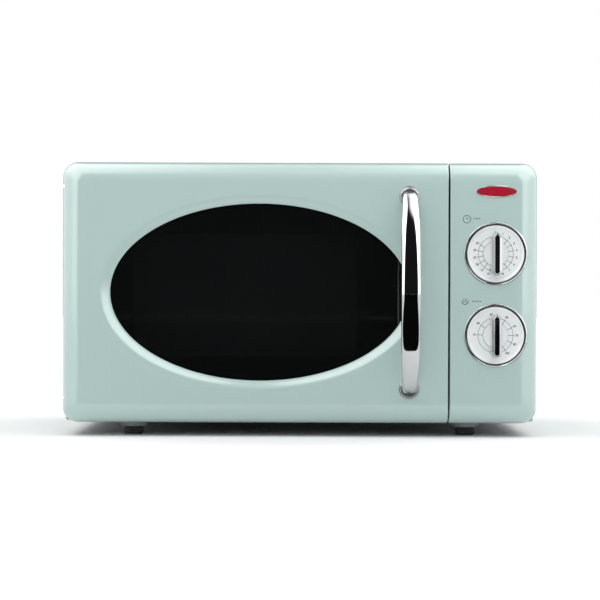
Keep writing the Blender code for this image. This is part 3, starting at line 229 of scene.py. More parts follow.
FLOOR_REACH = 14.0
floor_shape = bmesh.new()
bmesh.ops.create_grid(floor_shape, x_segments=1, y_segments=1, size=FLOOR_REACH)
floor = from_bmesh("floor", floor_shape)
floor.data.materials.append(surface("floor_white", (0.93, 0.93, 0.93), 1.0,
                                    extra={"Specular IOR Level": 0.0}))

CARD_HEIGHT = 0.0015


def flag(name, rows):
    """A black card along rows of (depth, half width), which only polished surfaces see."""
    shape = bmesh.new()
    pairs = [[shape.verts.new((side * half, deep, CARD_HEIGHT)) for side in (-1, 1)]
             for deep, half in rows]
    for first, second in zip(pairs, pairs[1:]):
        shape.faces.new((first[0], first[1], second[1], second[0]))
    card = from_bmesh(name, shape)
    card.data.materials.append(surface(name, (0.003, 0.003, 0.003), 1.0, extra={"Specular IOR Level": 0.0}))
    card.visible_camera = False
    card.visible_diffuse = False
    card.visible_shadow = False
    card.visible_transmission = False


flag("dark_card", ((-0.32, 0.34), (-0.40, 0.45), (-0.9, 0.62), (-2.2, 1.05), (-6.0, 2.7), (-13.5, 6.0)))

# ---- Door moulding ------------------------------------------------------------------------------
# One moulded front, painted pale aqua, with a soft dish round the oval window. Its edges are rounded
# on the three outer sides and cut straight beside the control panel.
WALL = 0.0025
HOLLOW_DEPTH = 0.0118          # from the face to where the hollow back begins
EDGE_RADIUS = 0.019
CORNER_RADIUS = 0.0145
FACE_CORNER = 0.004
CUT_EDGE = 0.0009              # small rounding of the straight edge beside the panel
PIN_INSET = 0.009              # rounding of the rear edge that swings past the cabinet
PIN_STEP = 0.006               # extra wall behind that rounding
SEAT_PLAY = 0.00012            # between a handle cup and its seat
LUG_SLOT = 0.0016              # half height of the slot round a hinge lug
GLASS_OVERLAP = 0.0037
DISH_SIDE = 0.012
DISH_HEIGHT = 0.0088
DISH_DEPTH = 0.004
SIDE_POINTS, TOP_POINTS, ARC_POINTS = 26, 46, 9
AQUA = (0.455, 0.600, 0.572)

door_low, door_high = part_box("door_frame")
FACE_Y = door_low[1]
BACK_Y = door_high[1]


def middle_of(node):
    """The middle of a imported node's box."""
    return [(low + high) / 2 for low, high in zip(*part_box(node))]


def paint_tone(wire):
    """Even paint with a barely visible drift in tone."""
    return noise(wire, 7.0).step(0.3, 0.7).fade(AQUA, tuple(0.985 * part for part in AQUA))


def paint_gloss(wire):
    return 0.30 + 0.05 * noise(wire, 60.0).step(0.3, 0.7)


def orange_peel(wire):
    return noise(wire, 900.0, 2.0)


aqua_paint = surface("aqua_paint", paint_tone, paint_gloss, bump=orange_peel, depth=0.00002,
                     extra={"Coat Weight": 1.0, "Coat Roughness": 0.08})


def outline(left, right, bottom, top, left_radius, right_radius):
    """Closed ring with round corners, from the foot of the right side, counter-clockwise."""
    corners = ((right, top, right_radius, 0), (left, top, left_radius, 90),
               (left, bottom, left_radius, 180), (right, bottom, right_radius, 270))
    arcs = []
    for x, z, radius, start in corners:
        centre_x = x - radius if start in (0, 270) else x + radius
        centre_z = z - radius if start in (0, 90) else z + radius
        angles = [math.radians(start + 90 * i / (ARC_POINTS - 1)) for i in range(ARC_POINTS)]
        arcs.append([(centre_x + radius * math.cos(a), centre_z + radius * math.sin(a)) for a in angles])
    points = []
    for i, count in enumerate((SIDE_POINTS, TOP_POINTS, SIDE_POINTS, TOP_POINTS)):
        first, second = Vector(arcs[i - 1][-1]), Vector(arcs[i][0])
        points += [tuple(first.lerp(second, (k + 1) / (count + 1))) for k in range(count)]
        points += arcs[i]
    return points


def front_rings(left, right, round_left, pin_side):
    """Rings of the moulding from its flat face round the edges, to its back and inside."""
    bottom, top = door_low[2], door_high[2]
    rings = []

    def add(distance, inset, corner, cut, rear=0.0):
        small = max(CUT_EDGE - cut, 0.0002)
        left_side = left + (inset + rear if round_left else cut)
        right_side = right - (cut if round_left else inset)
        radii = (corner, small) if round_left else (small, corner)
        rings.append([Vector((x, FACE_Y + distance, z)) for x, z in
                      outline(left_side, right_side, bottom + inset, top - inset, *radii)])

    steps = 14
    add(0.0, EDGE_RADIUS + 0.0012, FACE_CORNER, CUT_EDGE + 0.0006)
    for i in range(steps + 1):
        angle = math.radians(90 * i / steps)
        taken = EDGE_RADIUS * (1 - math.sin(angle))
        corner = CORNER_RADIUS + (FACE_CORNER - CORNER_RADIUS) * taken / EDGE_RADIUS
        distance = EDGE_RADIUS * (1 - math.cos(angle))
        near = min(i / 5, 1.0) * math.pi / 2
        add(distance, taken, corner, CUT_EDGE * (1 - math.sin(near)))
    back = BACK_Y - FACE_Y
    pin = back - PIN_INSET
    for i in range(1, 7):
        deep = PIN_INSET * i / 6 * 0.985
        rear = PIN_INSET - math.sqrt(PIN_INSET ** 2 - deep ** 2) if pin_side else 0.0
        add(pin + deep, 0.0, CORNER_RADIUS, 0.0, rear)
    rear = PIN_INSET * 0.86 if pin_side else 0.0
    add(back, 0.0006, CORNER_RADIUS - 0.0006, 0.0006, rear)
    rear += PIN_STEP if pin_side else 0.0
    add(back, WALL, CORNER_RADIUS - WALL, WALL, rear)
    add(HOLLOW_DEPTH, WALL + 0.001, CORNER_RADIUS - WALL - 0.001, WALL, rear)
    return rings


def bridge(name, rings, ends="cap"):
    """Skin over equal rings; the ends are capped, or joined to each other."""
    shape = bmesh.new()
    loops = [[shape.verts.new(point) for point in ring] for ring in rings]
    pairs = list(zip(loops, loops[1:]))
    if ends == "join":
        pairs.append((loops[-1], loops[0]))
    for first, second in pairs:
        for i in range(len(first)):
            j = (i + 1) % len(first)
            shape.faces.new((first[i], first[j], second[j], second[i]))
    if ends == "cap":
        shape.faces.new(loops[0])
        shape.faces.new(loops[-1])
    bmesh.ops.recalc_face_normals(shape, faces=shape.faces)
    return from_bmesh(name, shape)


def finish(piece, material, body, replaced=None, angle=32.0):
    """Shade a piece smooth but for its sharp edges, give it its material and body, and hide the part it
    replaces.
    """
    piece.data.shade_smooth()
    piece.data.set_sharp_from_angle(angle=math.radians(angle))
    flat = piece.modifiers.new("flat_faces", "WEIGHTED_NORMAL")
    flat.keep_sharp = True
    piece.data.materials.clear()
    piece.data.materials.append(material)
    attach(piece, body)
    if replaced:
        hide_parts(replaced)


def solid(name, make, **facts):
    """A tool made by a bmesh primitive, for cutting."""
    shape = bmesh.new()
    make(shape, **facts)
    return from_bmesh(name, shape)


def worked_out(piece):
    """A new mesh of a piece with its modifiers, curve or text worked out."""
    bpy.context.view_layer.update()
    return bpy.data.meshes.new_from_object(piece.evaluated_get(bpy.context.evaluated_depsgraph_get()))


def carve(piece, tools):
    """Cut the tools from a piece and remove them."""
    for tool in tools:
        step = piece.modifiers.new(tool.name, "BOOLEAN")
        step.operation = "DIFFERENCE"
        step.object = tool
    shape = worked_out(piece)
    piece.modifiers.clear()
    piece.data = shape
    for tool in tools:
        bpy.data.objects.remove(tool)


def plug(name, centre, radius, length, sides=64):
    """A cylinder along the front-back axis, as a cutting tool."""
    tool = solid(name, bmesh.ops.create_cone, cap_ends=True, segments=sides, radius1=radius,
                 radius2=radius, depth=length)
    turn = Vector((0, 1, 0)).to_track_quat("Z", "Y").to_matrix().to_4x4()
    tool.data.transform(Matrix.Translation(centre) @ turn)
    return tool


def block(name, low, high):
    """A box between two corners, as a cutting tool."""
    tool = solid(name, bmesh.ops.create_cube, size=1.0)
    size = Vector(high) - Vector(low)
    middle = (Vector(low) + Vector(high)) / 2
    tool.data.transform(Matrix.Translation(middle) @ Matrix.Diagonal((*size, 1.0)))
    return tool


glass_low, glass_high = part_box("door_glass")
WINDOW_X, _, WINDOW_Z = middle_of("door_glass")
WINDOW_HALF = ((glass_high[0] - glass_low[0]) / 2 - GLASS_OVERLAP,
               (glass_high[2] - glass_low[2]) / 2 - GLASS_OVERLAP)


def window_ring(guide, distance, grow_x, grow_z):
    """A ring of the window's oval, its points in line with those of the ring around it."""
    half_x, half_z = WINDOW_HALF[0] + grow_x, WINDOW_HALF[1] + grow_z
    ring = []
    for point in guide:
        angle = math.atan2((point.z - WINDOW_Z) / half_z, (point.x - WINDOW_X) / half_x)
        ring.append(Vector((WINDOW_X + half_x * math.cos(angle), FACE_Y + distance,
                            WINDOW_Z + half_z * math.sin(angle))))
    return ring


def door_moulding():
    rings = front_rings(door_low[0], door_high[0], True, True)
    guide = rings[0]
    dish = [window_ring(guide, 0.0, DISH_SIDE * 1.06, DISH_HEIGHT * 1.06)]
    steps = 10
    for i in range(steps + 1):
        reach = 1 - i / steps
        sunk = DISH_DEPTH * (0.5 + 0.5 * math.cos(math.pi * reach ** 0.8)) * 0.92
        dish.append(window_ring(guide, sunk, DISH_SIDE * reach, DISH_HEIGHT * reach))
    lip = [window_ring(guide, deep, grow, grow)
           for deep, grow in ((DISH_DEPTH, -0.0003), (DISH_DEPTH + 0.0009, -0.0003),
                              (DISH_DEPTH + 0.0010, 0.0040), (HOLLOW_DEPTH, 0.0042))]
    piece = bridge("door_moulding", list(reversed(lip)) + list(reversed(dish)) + rings, ends="join")
    tools = []
    for end in ("top", "bottom"):
        low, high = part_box(f"handle_ferrule_{end}")
        x, _, z = middle_of(f"handle_ferrule_{end}")
        tools.append(plug(f"seat_{end}", Vector((x, FACE_Y, z)), (high[0] - low[0]) / 2 + SEAT_PLAY, 0.006))
    for end in ("lower", "upper"):
        low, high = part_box(f"hinge_{end}")
        middle = (low[2] + high[2]) / 2
        tools.append(block(f"lug_slot_{end}", (door_low[0] - 0.002, low[1] - 0.0045, middle - LUG_SLOT),
                           (door_low[0] + 0.0145, BACK_Y + 0.002, middle + LUG_SLOT)))
    carve(piece, tools)
    return piece


finish(door_moulding(), aqua_paint, "door", "door_frame")

# ---- Control panel ------------------------------------------------------------------------------
# The same painted moulding carried past the door and fixed to the front frame, with a round hole
# for each dial. Its left edge is cut straight to leave a thin gap beside the door.
DIAL_HOLE = 0.0270
HOLE_LENGTH = 0.05             # long enough to pass right through

panel_low, panel_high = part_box("control_panel")
panel_moulding = bridge("panel_moulding", front_rings(panel_low[0], panel_high[0], False, False))


def dial_centre(name):
    x, _, z = middle_of(f"{name}_bezel")
    return Vector((x, FACE_Y, z))


DIALS = {name: dial_centre(name) for name in ("time", "power")}
carve(panel_moulding, [plug(f"dial_hole_{name}", centre, DIAL_HOLE, HOLE_LENGTH, sides=96)
                       for name, centre in DIALS.items()])
finish(panel_moulding, aqua_paint, "cabinet_body", "control_panel")

# ---- Dials --------------------------------------------------------------------------------------
# Each dial is a turned bright rim, a black gasket sunk inside it, and a satin silver disc that dips to
# the printed scale. The disc's middle is spun, so it carries fine turning marks.
RIM_RADIUS = 0.0302
SLEEVE = (0.0260, 0.0267)      # the rim's sleeve, inside and outside
SLEEVE_DEPTH = 0.0055
GASKET = (0.0272, 0.0285)      # inside and outside
DISC_EDGE = 0.0271
DISC_STEP = 0.0247             # where the disc dips to the printed scale
DISC_DEPTH = 0.0017
DISC_BACK = 0.0030
SKIRT_RADIUS = 0.0118          # the turned ring under each knob
SHAFT_HOLE = 0.0035
TURNED_STEPS = 128


def turned(name, profile, centre, steps=TURNED_STEPS):
    """Turn a closed loop of (radius, depth) points about the front-back axis through a centre."""
    turns = [2 * math.pi * i / steps for i in range(steps)]
    rings = [[centre + Vector((radius * math.cos(t), deep, radius * math.sin(t))) for t in turns]
             for radius, deep in profile]
    return bridge(name, rings, ends="join")


def radius_from(wire, centre):
    """Distance from the front-back axis through a centre."""
    x, y, z = parts_of(place_of(wire))
    return ((x - centre.x) ** 2 + (z - centre.z) ** 2) ** 0.5


def faint_smears(low, high):
    """Roughness that wanders between two values, as on a wiped surface."""
    return lambda wire: low + (high - low) * noise(wire, 45.0, 5.0).step(0.35, 0.75)


bright_chrome = surface("bright_chrome", (0.56, 0.57, 0.58), faint_smears(0.035, 0.075), 1.0,
                        bump=lambda wire: noise(wire, 30.0, 2.0), depth=0.00001)
gasket_black = surface("gasket_black",
                       lambda wire: noise(wire, 300.0).fade((0.006, 0.009, 0.009), (0.014, 0.018, 0.018)),
                       faint_smears(0.42, 0.55), bump=lambda wire: noise(wire, 800.0), depth=0.00003)


def disc_metal(name, centre):
    """Satin silver with turning marks, closer together and deeper under the knob."""
    def tone(wire):
        ring = (radius_from(wire, centre) * 9000.0).math("SINE")
        return (ring * 0.5 + 0.5).fade((0.82, 0.85, 0.86), (0.89, 0.92, 0.93))

    def turning(wire):
        radius = radius_from(wire, centre)
        marks = (radius * 16000.0).math("SINE")
        return marks * (1 - radius.step(SKIRT_RADIUS - 0.0004, SKIRT_RADIUS)) * 0.6 + 0.25 * marks

    return surface(name, tone, faint_smears(0.34, 0.42), 0.10, bump=turning, depth=0.000015)


for dial, centre in DIALS.items():
    rim = [(RIM_RADIUS, 0.0003), (RIM_RADIUS, -0.0005), (RIM_RADIUS - 0.0002, -0.0010),
           (RIM_RADIUS - 0.0006, -0.0014), (RIM_RADIUS - 0.0011, -0.0015), (RIM_RADIUS - 0.0015, -0.0012),
           (GASKET[1], -0.0006), (GASKET[1], 0.0001), (SLEEVE[0], 0.0001), (SLEEVE[0], SLEEVE_DEPTH),
           (SLEEVE[1], SLEEVE_DEPTH), (SLEEVE[1], 0.0003)]
    finish(turned(f"{dial}_dial_rim", rim, centre), bright_chrome, "cabinet_body",
           f"{dial}_bezel")
    inner, outer = GASKET
    gasket = [(outer - 0.0001, 0.00008), (outer - 0.0001, -0.0004), (outer - 0.0004, -0.0006),
              (inner + 0.0003, -0.0006), (inner + 0.0001, -0.0004), (inner + 0.0001, 0.00008)]
    finish(turned(f"{dial}_gasket", gasket, centre), gasket_black, "cabinet_body")
    disc = [(SHAFT_HOLE, DISC_DEPTH), (DISC_STEP - 0.0008, DISC_DEPTH),
            (DISC_STEP - 0.0003, DISC_DEPTH - 0.0002),
            (DISC_STEP, DISC_DEPTH - 0.0006), (DISC_STEP + 0.0006, 0.0003), (DISC_EDGE - 0.0007, -0.0003),
            (DISC_EDGE - 0.0001, -0.0002), (DISC_EDGE, 0.00005), (SLEEVE[0] - 0.0001, 0.00012),
            (SLEEVE[0] - 0.0008, DISC_BACK), (SHAFT_HOLE, DISC_BACK)]
    finish(turned(f"{dial}_disc", disc, centre), disc_metal(f"{dial}_disc_metal", centre),
           "cabinet_body", f"{dial}_dial_plate")

# ---- Printed scales and signs -------------------------------------------------------------------
# Dark grey screen print, a hair above the metal: two rings, the ticks between them and plain numbers.
# The time scale runs in minutes to 35 and the power scale in steps of ten per cent.
PRINT_THICKNESS = 0.00006
LINE = 0.00036
RING_IN, RING_OUT = 0.0119, 0.0167
NUMBER_RADIUS = 0.0202
NUMBER_SIZE = 0.0030
TIME_SCALE = list(zip(range(0, 301, 20), ("0", "1", "2", "3", "4", "5", "6", "7", "8", "9", "10",
                                            "15", "20", "25", "30", "35")))
POWER_SCALE = [(-88, "10"), (-55, "20"), (-12, "30"), (32, "40"), (64, "60"), (90, "70"), (115, "80"),
               (147, "100")]
CLOCK_SIGN = (0.1588, 0.2080)
CLOCK_RADIUS = 0.0036
BOWL_SIGN = (0.1573, 0.1295)
BOWL_RADIUS = 0.0030
FINE_LINE = 0.0005
DASH, DASH_PITCH, DASH_HEIGHT = 0.0015, 0.0024, 0.0009
DASH_ROWS = ((0.1652, 0.2085, 3), (0.1640, 0.1299, 4))

print_ink = surface("print_ink",
                    lambda wire: noise(wire, 1500.0).fade((0.045, 0.052, 0.055), (0.085, 0.092, 0.095)),
                    faint_smears(0.5, 0.62))


def slab(shape, outline, face):
    """A closed flat print of a shape, standing forward of a face."""
    front = [shape.verts.new((x, face - PRINT_THICKNESS, z)) for x, z in outline]
    back = [shape.verts.new((x, face, z)) for x, z in outline]
    shape.faces.new(front)
    shape.faces.new(list(reversed(back)))
    for i in range(len(front)):
        j = (i + 1) % len(front)
        shape.faces.new((front[i], back[i], back[j], front[j]))


def stroke(shape, start, end, width, face):
    """A straight printed line."""
    start, end = Vector(start), Vector(end)
    across = (end - start).normalized().orthogonal() * width / 2
    slab(shape, [tuple(p) for p in (start - across, end - across, end + across, start + across)], face)


def hoop(shape, centre, radius, width, face, steps=72, start=0.0, turn=360.0):
    """A printed circle or arc, as one closed band."""
    whole = turn >= 360.0
    count = steps if whole else steps + 1
    corners = []
    for i in range(count):
        angle = math.radians(start + turn * i / steps)
        way = Vector((math.sin(angle), 0.0, math.cos(angle)))
        corners.append([shape.verts.new(Vector((centre[0], deep, centre[1])) + way * r)
                        for r, deep in ((radius - width / 2, face), (radius + width / 2, face),
                                        (radius + width / 2, face - PRINT_THICKNESS),
                                        (radius - width / 2, face - PRINT_THICKNESS))])
    for i in range(steps):
        first, second = corners[i], corners[(i + 1) % count]
        for k in range(4):
            shape.faces.new((first[k], first[(k + 1) % 4], second[(k + 1) % 4], second[k]))
    if not whole:
        shape.faces.new(corners[0])
        shape.faces.new(list(reversed(corners[-1])))


def add_curve(shape, curve, stand=None):
    """Turn a curve or text into mesh, move it to where it stands, and add it to a shape."""
    holder = new_object(curve.name, curve)
    mesh = worked_out(holder)
    if stand:
        mesh.transform(stand)
    shape.from_mesh(mesh)
    bpy.data.objects.remove(holder)
    bpy.data.curves.remove(curve)
    bpy.data.meshes.remove(mesh)


def close_up(shape):
    """Join corners that meet and turn every face outwards."""
    bmesh.ops.remove_doubles(shape, verts=shape.verts, dist=1e-7)
    bmesh.ops.recalc_face_normals(shape, faces=shape.faces)


def add_number(shape, text, x, z, size, face):
    """A number set upright on a face."""
    data = bpy.data.curves.new("number", "FONT")
    data.body = text
    data.size = size
    data.align_x = "CENTER"
    data.align_y = "CENTER"
    data.resolution_u = 3
    data.offset = 0.00008
    data.extrude = PRINT_THICKNESS / 2
    place = Matrix.Translation((x, face - PRINT_THICKNESS / 2, z))
    add_curve(shape, data, place @ Matrix.Rotation(math.radians(90), 4, "X"))


def close_print(name, shape):
    """Make one printed piece of a shape, with flat faces."""
    close_up(shape)
    piece = from_bmesh(name, shape)
    piece.data.materials.append(print_ink)
    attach(piece, "cabinet_body")


for dial, scale in (("time", TIME_SCALE), ("power", POWER_SCALE)):
    centre = DIALS[dial]
    face = centre.y + DISC_DEPTH
    marks = bmesh.new()
    for radius in (RING_IN, RING_OUT):
        hoop(marks, (centre.x, centre.z), radius, LINE, face)
    for angle, number in scale:
        way = Vector((math.sin(math.radians(angle)), math.cos(math.radians(angle))))
        middle = Vector((centre.x, centre.z))
        stroke(marks, middle + way * (RING_IN + 0.0001), middle + way * (RING_OUT + 0.0012), LINE * 1.15,
               face)
        add_number(marks, number, *(middle + way * NUMBER_RADIUS), NUMBER_SIZE, face)
    close_print(f"{dial}_scale", marks)

signs = bmesh.new()
x, z = CLOCK_SIGN
hoop(signs, CLOCK_SIGN, CLOCK_RADIUS, 0.0006, FACE_Y)
stroke(signs, CLOCK_SIGN, (x, z + 0.0021), 0.0006, FACE_Y)
stroke(signs, CLOCK_SIGN, (x + 0.0015, z + 0.0008), FINE_LINE, FACE_Y)
x, z = BOWL_SIGN
hoop(signs, (x, z + 0.0005), BOWL_RADIUS, 0.0007, FACE_Y, steps=24, start=100.0, turn=160.0)
stroke(signs, (x - 0.0033, z + 0.0004), (x + 0.0033, z + 0.0004), FINE_LINE, FACE_Y)
for shift in (-0.0016, 0.0, 0.0016):
    stroke(signs, (x + shift, z + 0.0013), (x + shift + 0.0004, z + 0.0030), FINE_LINE, FACE_Y)
for x, z, count in DASH_ROWS:
    for i in range(count):
        stroke(signs, (x + DASH_PITCH * i, z), (x + DASH_PITCH * i + DASH, z), DASH_HEIGHT, FACE_Y)
close_print("dial_signs", signs)

# ---- Knobs --------------------------------------------------------------------------------------
# Plated pointer bars, pushed on the dial shafts. Steep sides run up to a bevel and a narrow flat front,
# pointed at the top and round at the foot, on a round skirt. Each stage of the bar below is its depth,
# its width, how much shorter it is than the whole knob, and the length of its point.
KNOB_POINTS = 24
KNOB_STAGES = ((0.0003, 0.0102, 0.0, 0.0056), (-0.0008, 0.0102, 0.0, 0.0056),
               (-0.0132, 0.0099, 0.0002, 0.0054), (-0.0141, 0.0096, 0.0003, 0.0053),
               (-0.0166, 0.0056, 0.0016, 0.0036), (-0.0170, 0.0050, 0.0018, 0.0034),
               (-0.0172, 0.0046, 0.0020, 0.0033))
knob_low, knob_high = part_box("time_knob")
KNOB_HALF = (knob_high[2] - knob_low[2]) / 2


def pointer(centre, deep, width, short, tip):
    """One outline of the pointer, shorter at both ends than the whole knob."""
    half, reach = width / 2, KNOB_HALF - short
    corners = [(half, -reach + half), (half, 0.0), (half, reach - tip), (half * 0.5, reach - tip * 0.42),
               (0.0, reach), (-half * 0.5, reach - tip * 0.42), (-half, reach - tip), (-half, 0.0)]
    for i in range(KNOB_POINTS):
        angle = math.radians(180 + 180 * i / KNOB_POINTS)
        corners.append((half * math.cos(angle), -reach + half + half * math.sin(angle)))
    return [centre + Vector((x, deep, z)) for x, z in corners]


for dial, centre in DIALS.items():
    bar = bridge(f"{dial}_pointer", [pointer(centre, *stage) for stage in KNOB_STAGES])
    finish(bar, bright_chrome, f"{dial}_dial", f"{dial}_knob", angle=24.0)
    skirt = [(0.0030, 0.00115), (SKIRT_RADIUS - 0.0002, 0.00115), (SKIRT_RADIUS, 0.0009),
             (SKIRT_RADIUS, 0.0003), (SKIRT_RADIUS - 0.0003, 0.00005), (0.0085, 0.00035), (0.0030, 0.0001)]
    finish(turned(f"{dial}_skirt", skirt, centre), disc_metal(f"{dial}_skirt_metal", centre),
           f"{dial}_dial")

# ---- Handle -------------------------------------------------------------------------------------
# One cast and plated bow. It is narrow at its ends, wide and almost flat in front at its middle, and
# stands in two plated cups let into the door.
HANDLE_THICKNESS = 0.009
HANDLE_WIDTHS = ((0.0, 0.0122), (0.12, 0.0150), (0.30, 0.0177), (0.5, 0.0184), (0.70, 0.0178),
                 (0.88, 0.0156), (1.0, 0.0130))         # share of the way down, and width there
HANDLE_STATIONS = 72
SECTION_POINTS = 48
FLATNESS = 3.6                 # 2 gives an ellipse, more gives a flatter front
CUP_RADIUS, CUP_BORE, CUP_DEPTH = 0.0099, 0.0069, 0.0027
HANDLE_SEAT = CUP_DEPTH - 0.0004

handle_low, handle_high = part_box("handle")
HANDLE_X = middle_of("handle")[0]
HANDLE_ENDS = (handle_low[2] + HANDLE_THICKNESS / 2, handle_high[2] - HANDLE_THICKNESS / 2)
HANDLE_BOW = FACE_Y - handle_low[1] - HANDLE_THICKNESS / 2


def blend_of(points, place):
    """A smooth value between listed (place, value) points."""
    for (a, first), (b, second) in zip(points, points[1:]):
        if place <= b:
            share = (place - a) / (b - a)
            return first + (second - first) * share * share * (3 - 2 * share)
    return points[-1][1]


def handle_ring(z, distance, along, width):
    """One section of the bow, square to the way it runs there."""
    ring = []
    for k in range(SECTION_POINTS):
        turn = 2 * math.pi * k / SECTION_POINTS
        c, t = math.cos(turn), math.sin(turn)
        across = math.copysign(abs(c) ** (2 / FLATNESS), c) * width / 2
        out = math.copysign(abs(t) ** (2 / FLATNESS), t) * HANDLE_THICKNESS / 2
        ring.append(Vector((HANDLE_X + across, FACE_Y + distance + out * along[0], z - out * along[1])))
    return ring


low_z, high_z = HANDLE_ENDS
middle_z, half_z = (low_z + high_z) / 2, (high_z - low_z) / 2
rings = [handle_ring(high_z, HANDLE_SEAT, (0.0, -1.0), HANDLE_WIDTHS[0][1])]
for i in range(HANDLE_STATIONS + 1):
    share = i / HANDLE_STATIONS
    angle = math.pi * share
    tangent = Vector((-half_z * math.sin(angle), -HANDLE_BOW * math.cos(angle))).normalized()
    rings.append(handle_ring(middle_z + half_z * math.cos(angle), -HANDLE_BOW * math.sin(angle),
                             (tangent.x, tangent.y), blend_of(HANDLE_WIDTHS, share)))
rings.append(handle_ring(low_z, HANDLE_SEAT, (0.0, 1.0), HANDLE_WIDTHS[-1][1]))
finish(bridge("door_handle", rings), bright_chrome, "door", "handle", angle=60.0)

spun_cup = surface("spun_cup", lambda wire: noise(wire, 120.0).fade((0.36, 0.37, 0.38), (0.44, 0.45, 0.46)),
                   faint_smears(0.26, 0.34), 1.0, bump=lambda wire: noise(wire, 400.0), depth=0.00001)
cup_profile = [(0.0002, CUP_DEPTH - 0.00025), (CUP_BORE - 0.0003, CUP_DEPTH - 0.00025),
               (CUP_BORE, CUP_DEPTH - 0.0006), (CUP_BORE + 0.0004, 0.0006), (CUP_BORE + 0.0012, -0.0001),
               (CUP_RADIUS - 0.0008, -0.0006), (CUP_RADIUS - 0.0003, -0.0005), (CUP_RADIUS, -0.0001),
               (CUP_RADIUS, CUP_DEPTH), (0.0002, CUP_DEPTH)]
for end, z in zip(("bottom", "top"), HANDLE_ENDS):
    cup = turned(f"handle_cup_{end}", cup_profile, Vector((HANDLE_X, FACE_Y, z)), steps=80)
    finish(cup, spun_cup, "door", f"handle_ferrule_{end}")

# ---- Badge --------------------------------------------------------------------------------------
# A plain oval of deep red enamel, with no lettering, in a fine plated rim. It is stuck to the panel
# above the dials.
badge_low, badge_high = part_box("badge")
BADGE_X, _, BADGE_Z = middle_of("badge")
BADGE_HALF = ((badge_high[0] - badge_low[0]) / 2, (badge_high[2] - badge_low[2]) / 2)


def badge_ring(inset, y, steps=72):
    turns = [2 * math.pi * i / steps for i in range(steps)]
    return [Vector((BADGE_X + (BADGE_HALF[0] - inset) * math.cos(t), y,
                    BADGE_Z + (BADGE_HALF[1] - inset) * math.sin(t))) for t in turns]


red_enamel = surface("red_enamel",
                     lambda wire: noise(wire, 200.0).fade((0.42, 0.012, 0.030), (0.36, 0.010, 0.026)),
                     faint_smears(0.16, 0.24), extra={"Coat Weight": 0.6, "Coat Roughness": 0.05})
back, front = badge_high[1], badge_low[1]
rim = [badge_ring(inset, y) for inset, y in
       ((0.0008, back), (0.0, back), (0.0, front + 0.0002), (0.0002, front), (0.0005, front),
        (0.0007, front + 0.00015), (0.0008, front + 0.0003))]
finish(bridge("badge_rim", rim, ends="join"), bright_chrome, "cabinet_body")
enamelled = [badge_ring(inset, y)
             for inset, y in ((0.00085, back), (0.00085, front + 0.0003), (0.0012, front + 0.00018),
                              (0.0022, front + 0.00005))]
finish(bridge("badge_enamel", enamelled), red_enamel, "cabinet_body", "badge")

# ---- Window -------------------------------------------------------------------------------------
# Tinted glass, printed black round a plain rectangle. Behind it lies the door's steel pan, painted
# black, with rows of fine holes over the same rectangle, and a clear sheet that keeps steam off it.
SCREEN_X = (-0.159, 0.055)
SCREEN_Z = (0.076, 0.194)
GLASS_TINT = 0.86              # share of light stopped by the clear part of the glass
HOLE_PITCH = 0.0021
HOLE_RADIUS = 0.00072
ROW_PITCH = HOLE_PITCH * 0.866         # rows stand closer, as each is shifted by half a hole


def dress(material, *names):
    """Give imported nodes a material."""
    for name in names:
        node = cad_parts[name]
        for slot in node.material_slots:
            slot.material = material
        if not node.material_slots:
            node.data.materials.append(material)


def link_to(material, socket, make):
    """Drive one more socket of a material's shader."""
    tree = material.node_tree
    tree.links.new(make(Wire(tree)).socket, tree.nodes["Principled BSDF"].inputs[socket])


def within(x, z, spread=0.0):
    """1 inside the screen's rectangle, 0 outside, with an edge as soft as the spread."""
    begins = [part.step(low - spread, low + spread + 1e-5)
              for part, (low, high) in ((x, SCREEN_X), (z, SCREEN_Z))]
    ends = [part.step(high - spread, high + spread + 1e-5)
            for part, (low, high) in ((x, SCREEN_X), (z, SCREEN_Z))]
    return begins[0] * (1 - ends[0]) * begins[1] * (1 - ends[1])


def glass_cover(wire):
    """Opaque where the glass is printed black, tinted over the screen."""
    x, y, z = parts_of(place_of(wire))
    return 1 - (1 - GLASS_TINT) * within(x, z, 0.0008)


def screen_metal(wire):
    """1 on metal, 0 in a hole. Odd rows are shifted by half a pitch."""
    x, y, z = parts_of(place_of(wire))
    row = (z / ROW_PITCH).math("FLOOR")
    shift = row.math("MODULO", 2.0) * 0.5
    across = ((x + 1.0) / HOLE_PITCH + shift).math("FRACT") - 0.5
    up = (z / ROW_PITCH).math("FRACT") - 0.5
    away = ((across * HOLE_PITCH) ** 2 + (up * ROW_PITCH) ** 2) ** 0.5
    hole = 1 - away.step(HOLE_RADIUS * 0.92, HOLE_RADIUS * 1.08)
    return 1 - hole * within(x, z)


window_glass = surface("window_glass",
                       lambda wire: noise(wire, 20.0).fade((0.0022, 0.0032, 0.0030),
                                                           (0.0035, 0.0045, 0.0042)),
                       faint_smears(0.02, 0.05), extra={"IOR": 1.5})
link_to(window_glass, "Alpha", glass_cover)
dress(window_glass, "door_glass")
pan_black = surface("pan_black",
                    lambda wire: noise(wire, 150.0).fade((0.030, 0.033, 0.034), (0.050, 0.054, 0.055)),
                    faint_smears(0.40, 0.55), 0.2, bump=lambda wire: noise(wire, 1200.0), depth=0.00002)
link_to(pan_black, "Alpha", screen_metal)
dress(pan_black, "door_plate")
clear_film = surface("clear_film",
                     lambda wire: noise(wire, 60.0).fade((0.55, 0.58, 0.58), (0.62, 0.65, 0.65)),
                     faint_smears(0.05, 0.12), extra={"IOR": 1.49})
link_to(clear_film, "Alpha", lambda wire: 0.07 + 0.05 * noise(wire, 90.0))
dress(clear_film, "door_inner_sheet")

# ---- Body shells --------------------------------------------------------------------------------
# Painted sheet steel round the sides and top, in the same pale aqua as the front but with a fine
# grain, and bare galvanised sheet underneath, behind and inside.


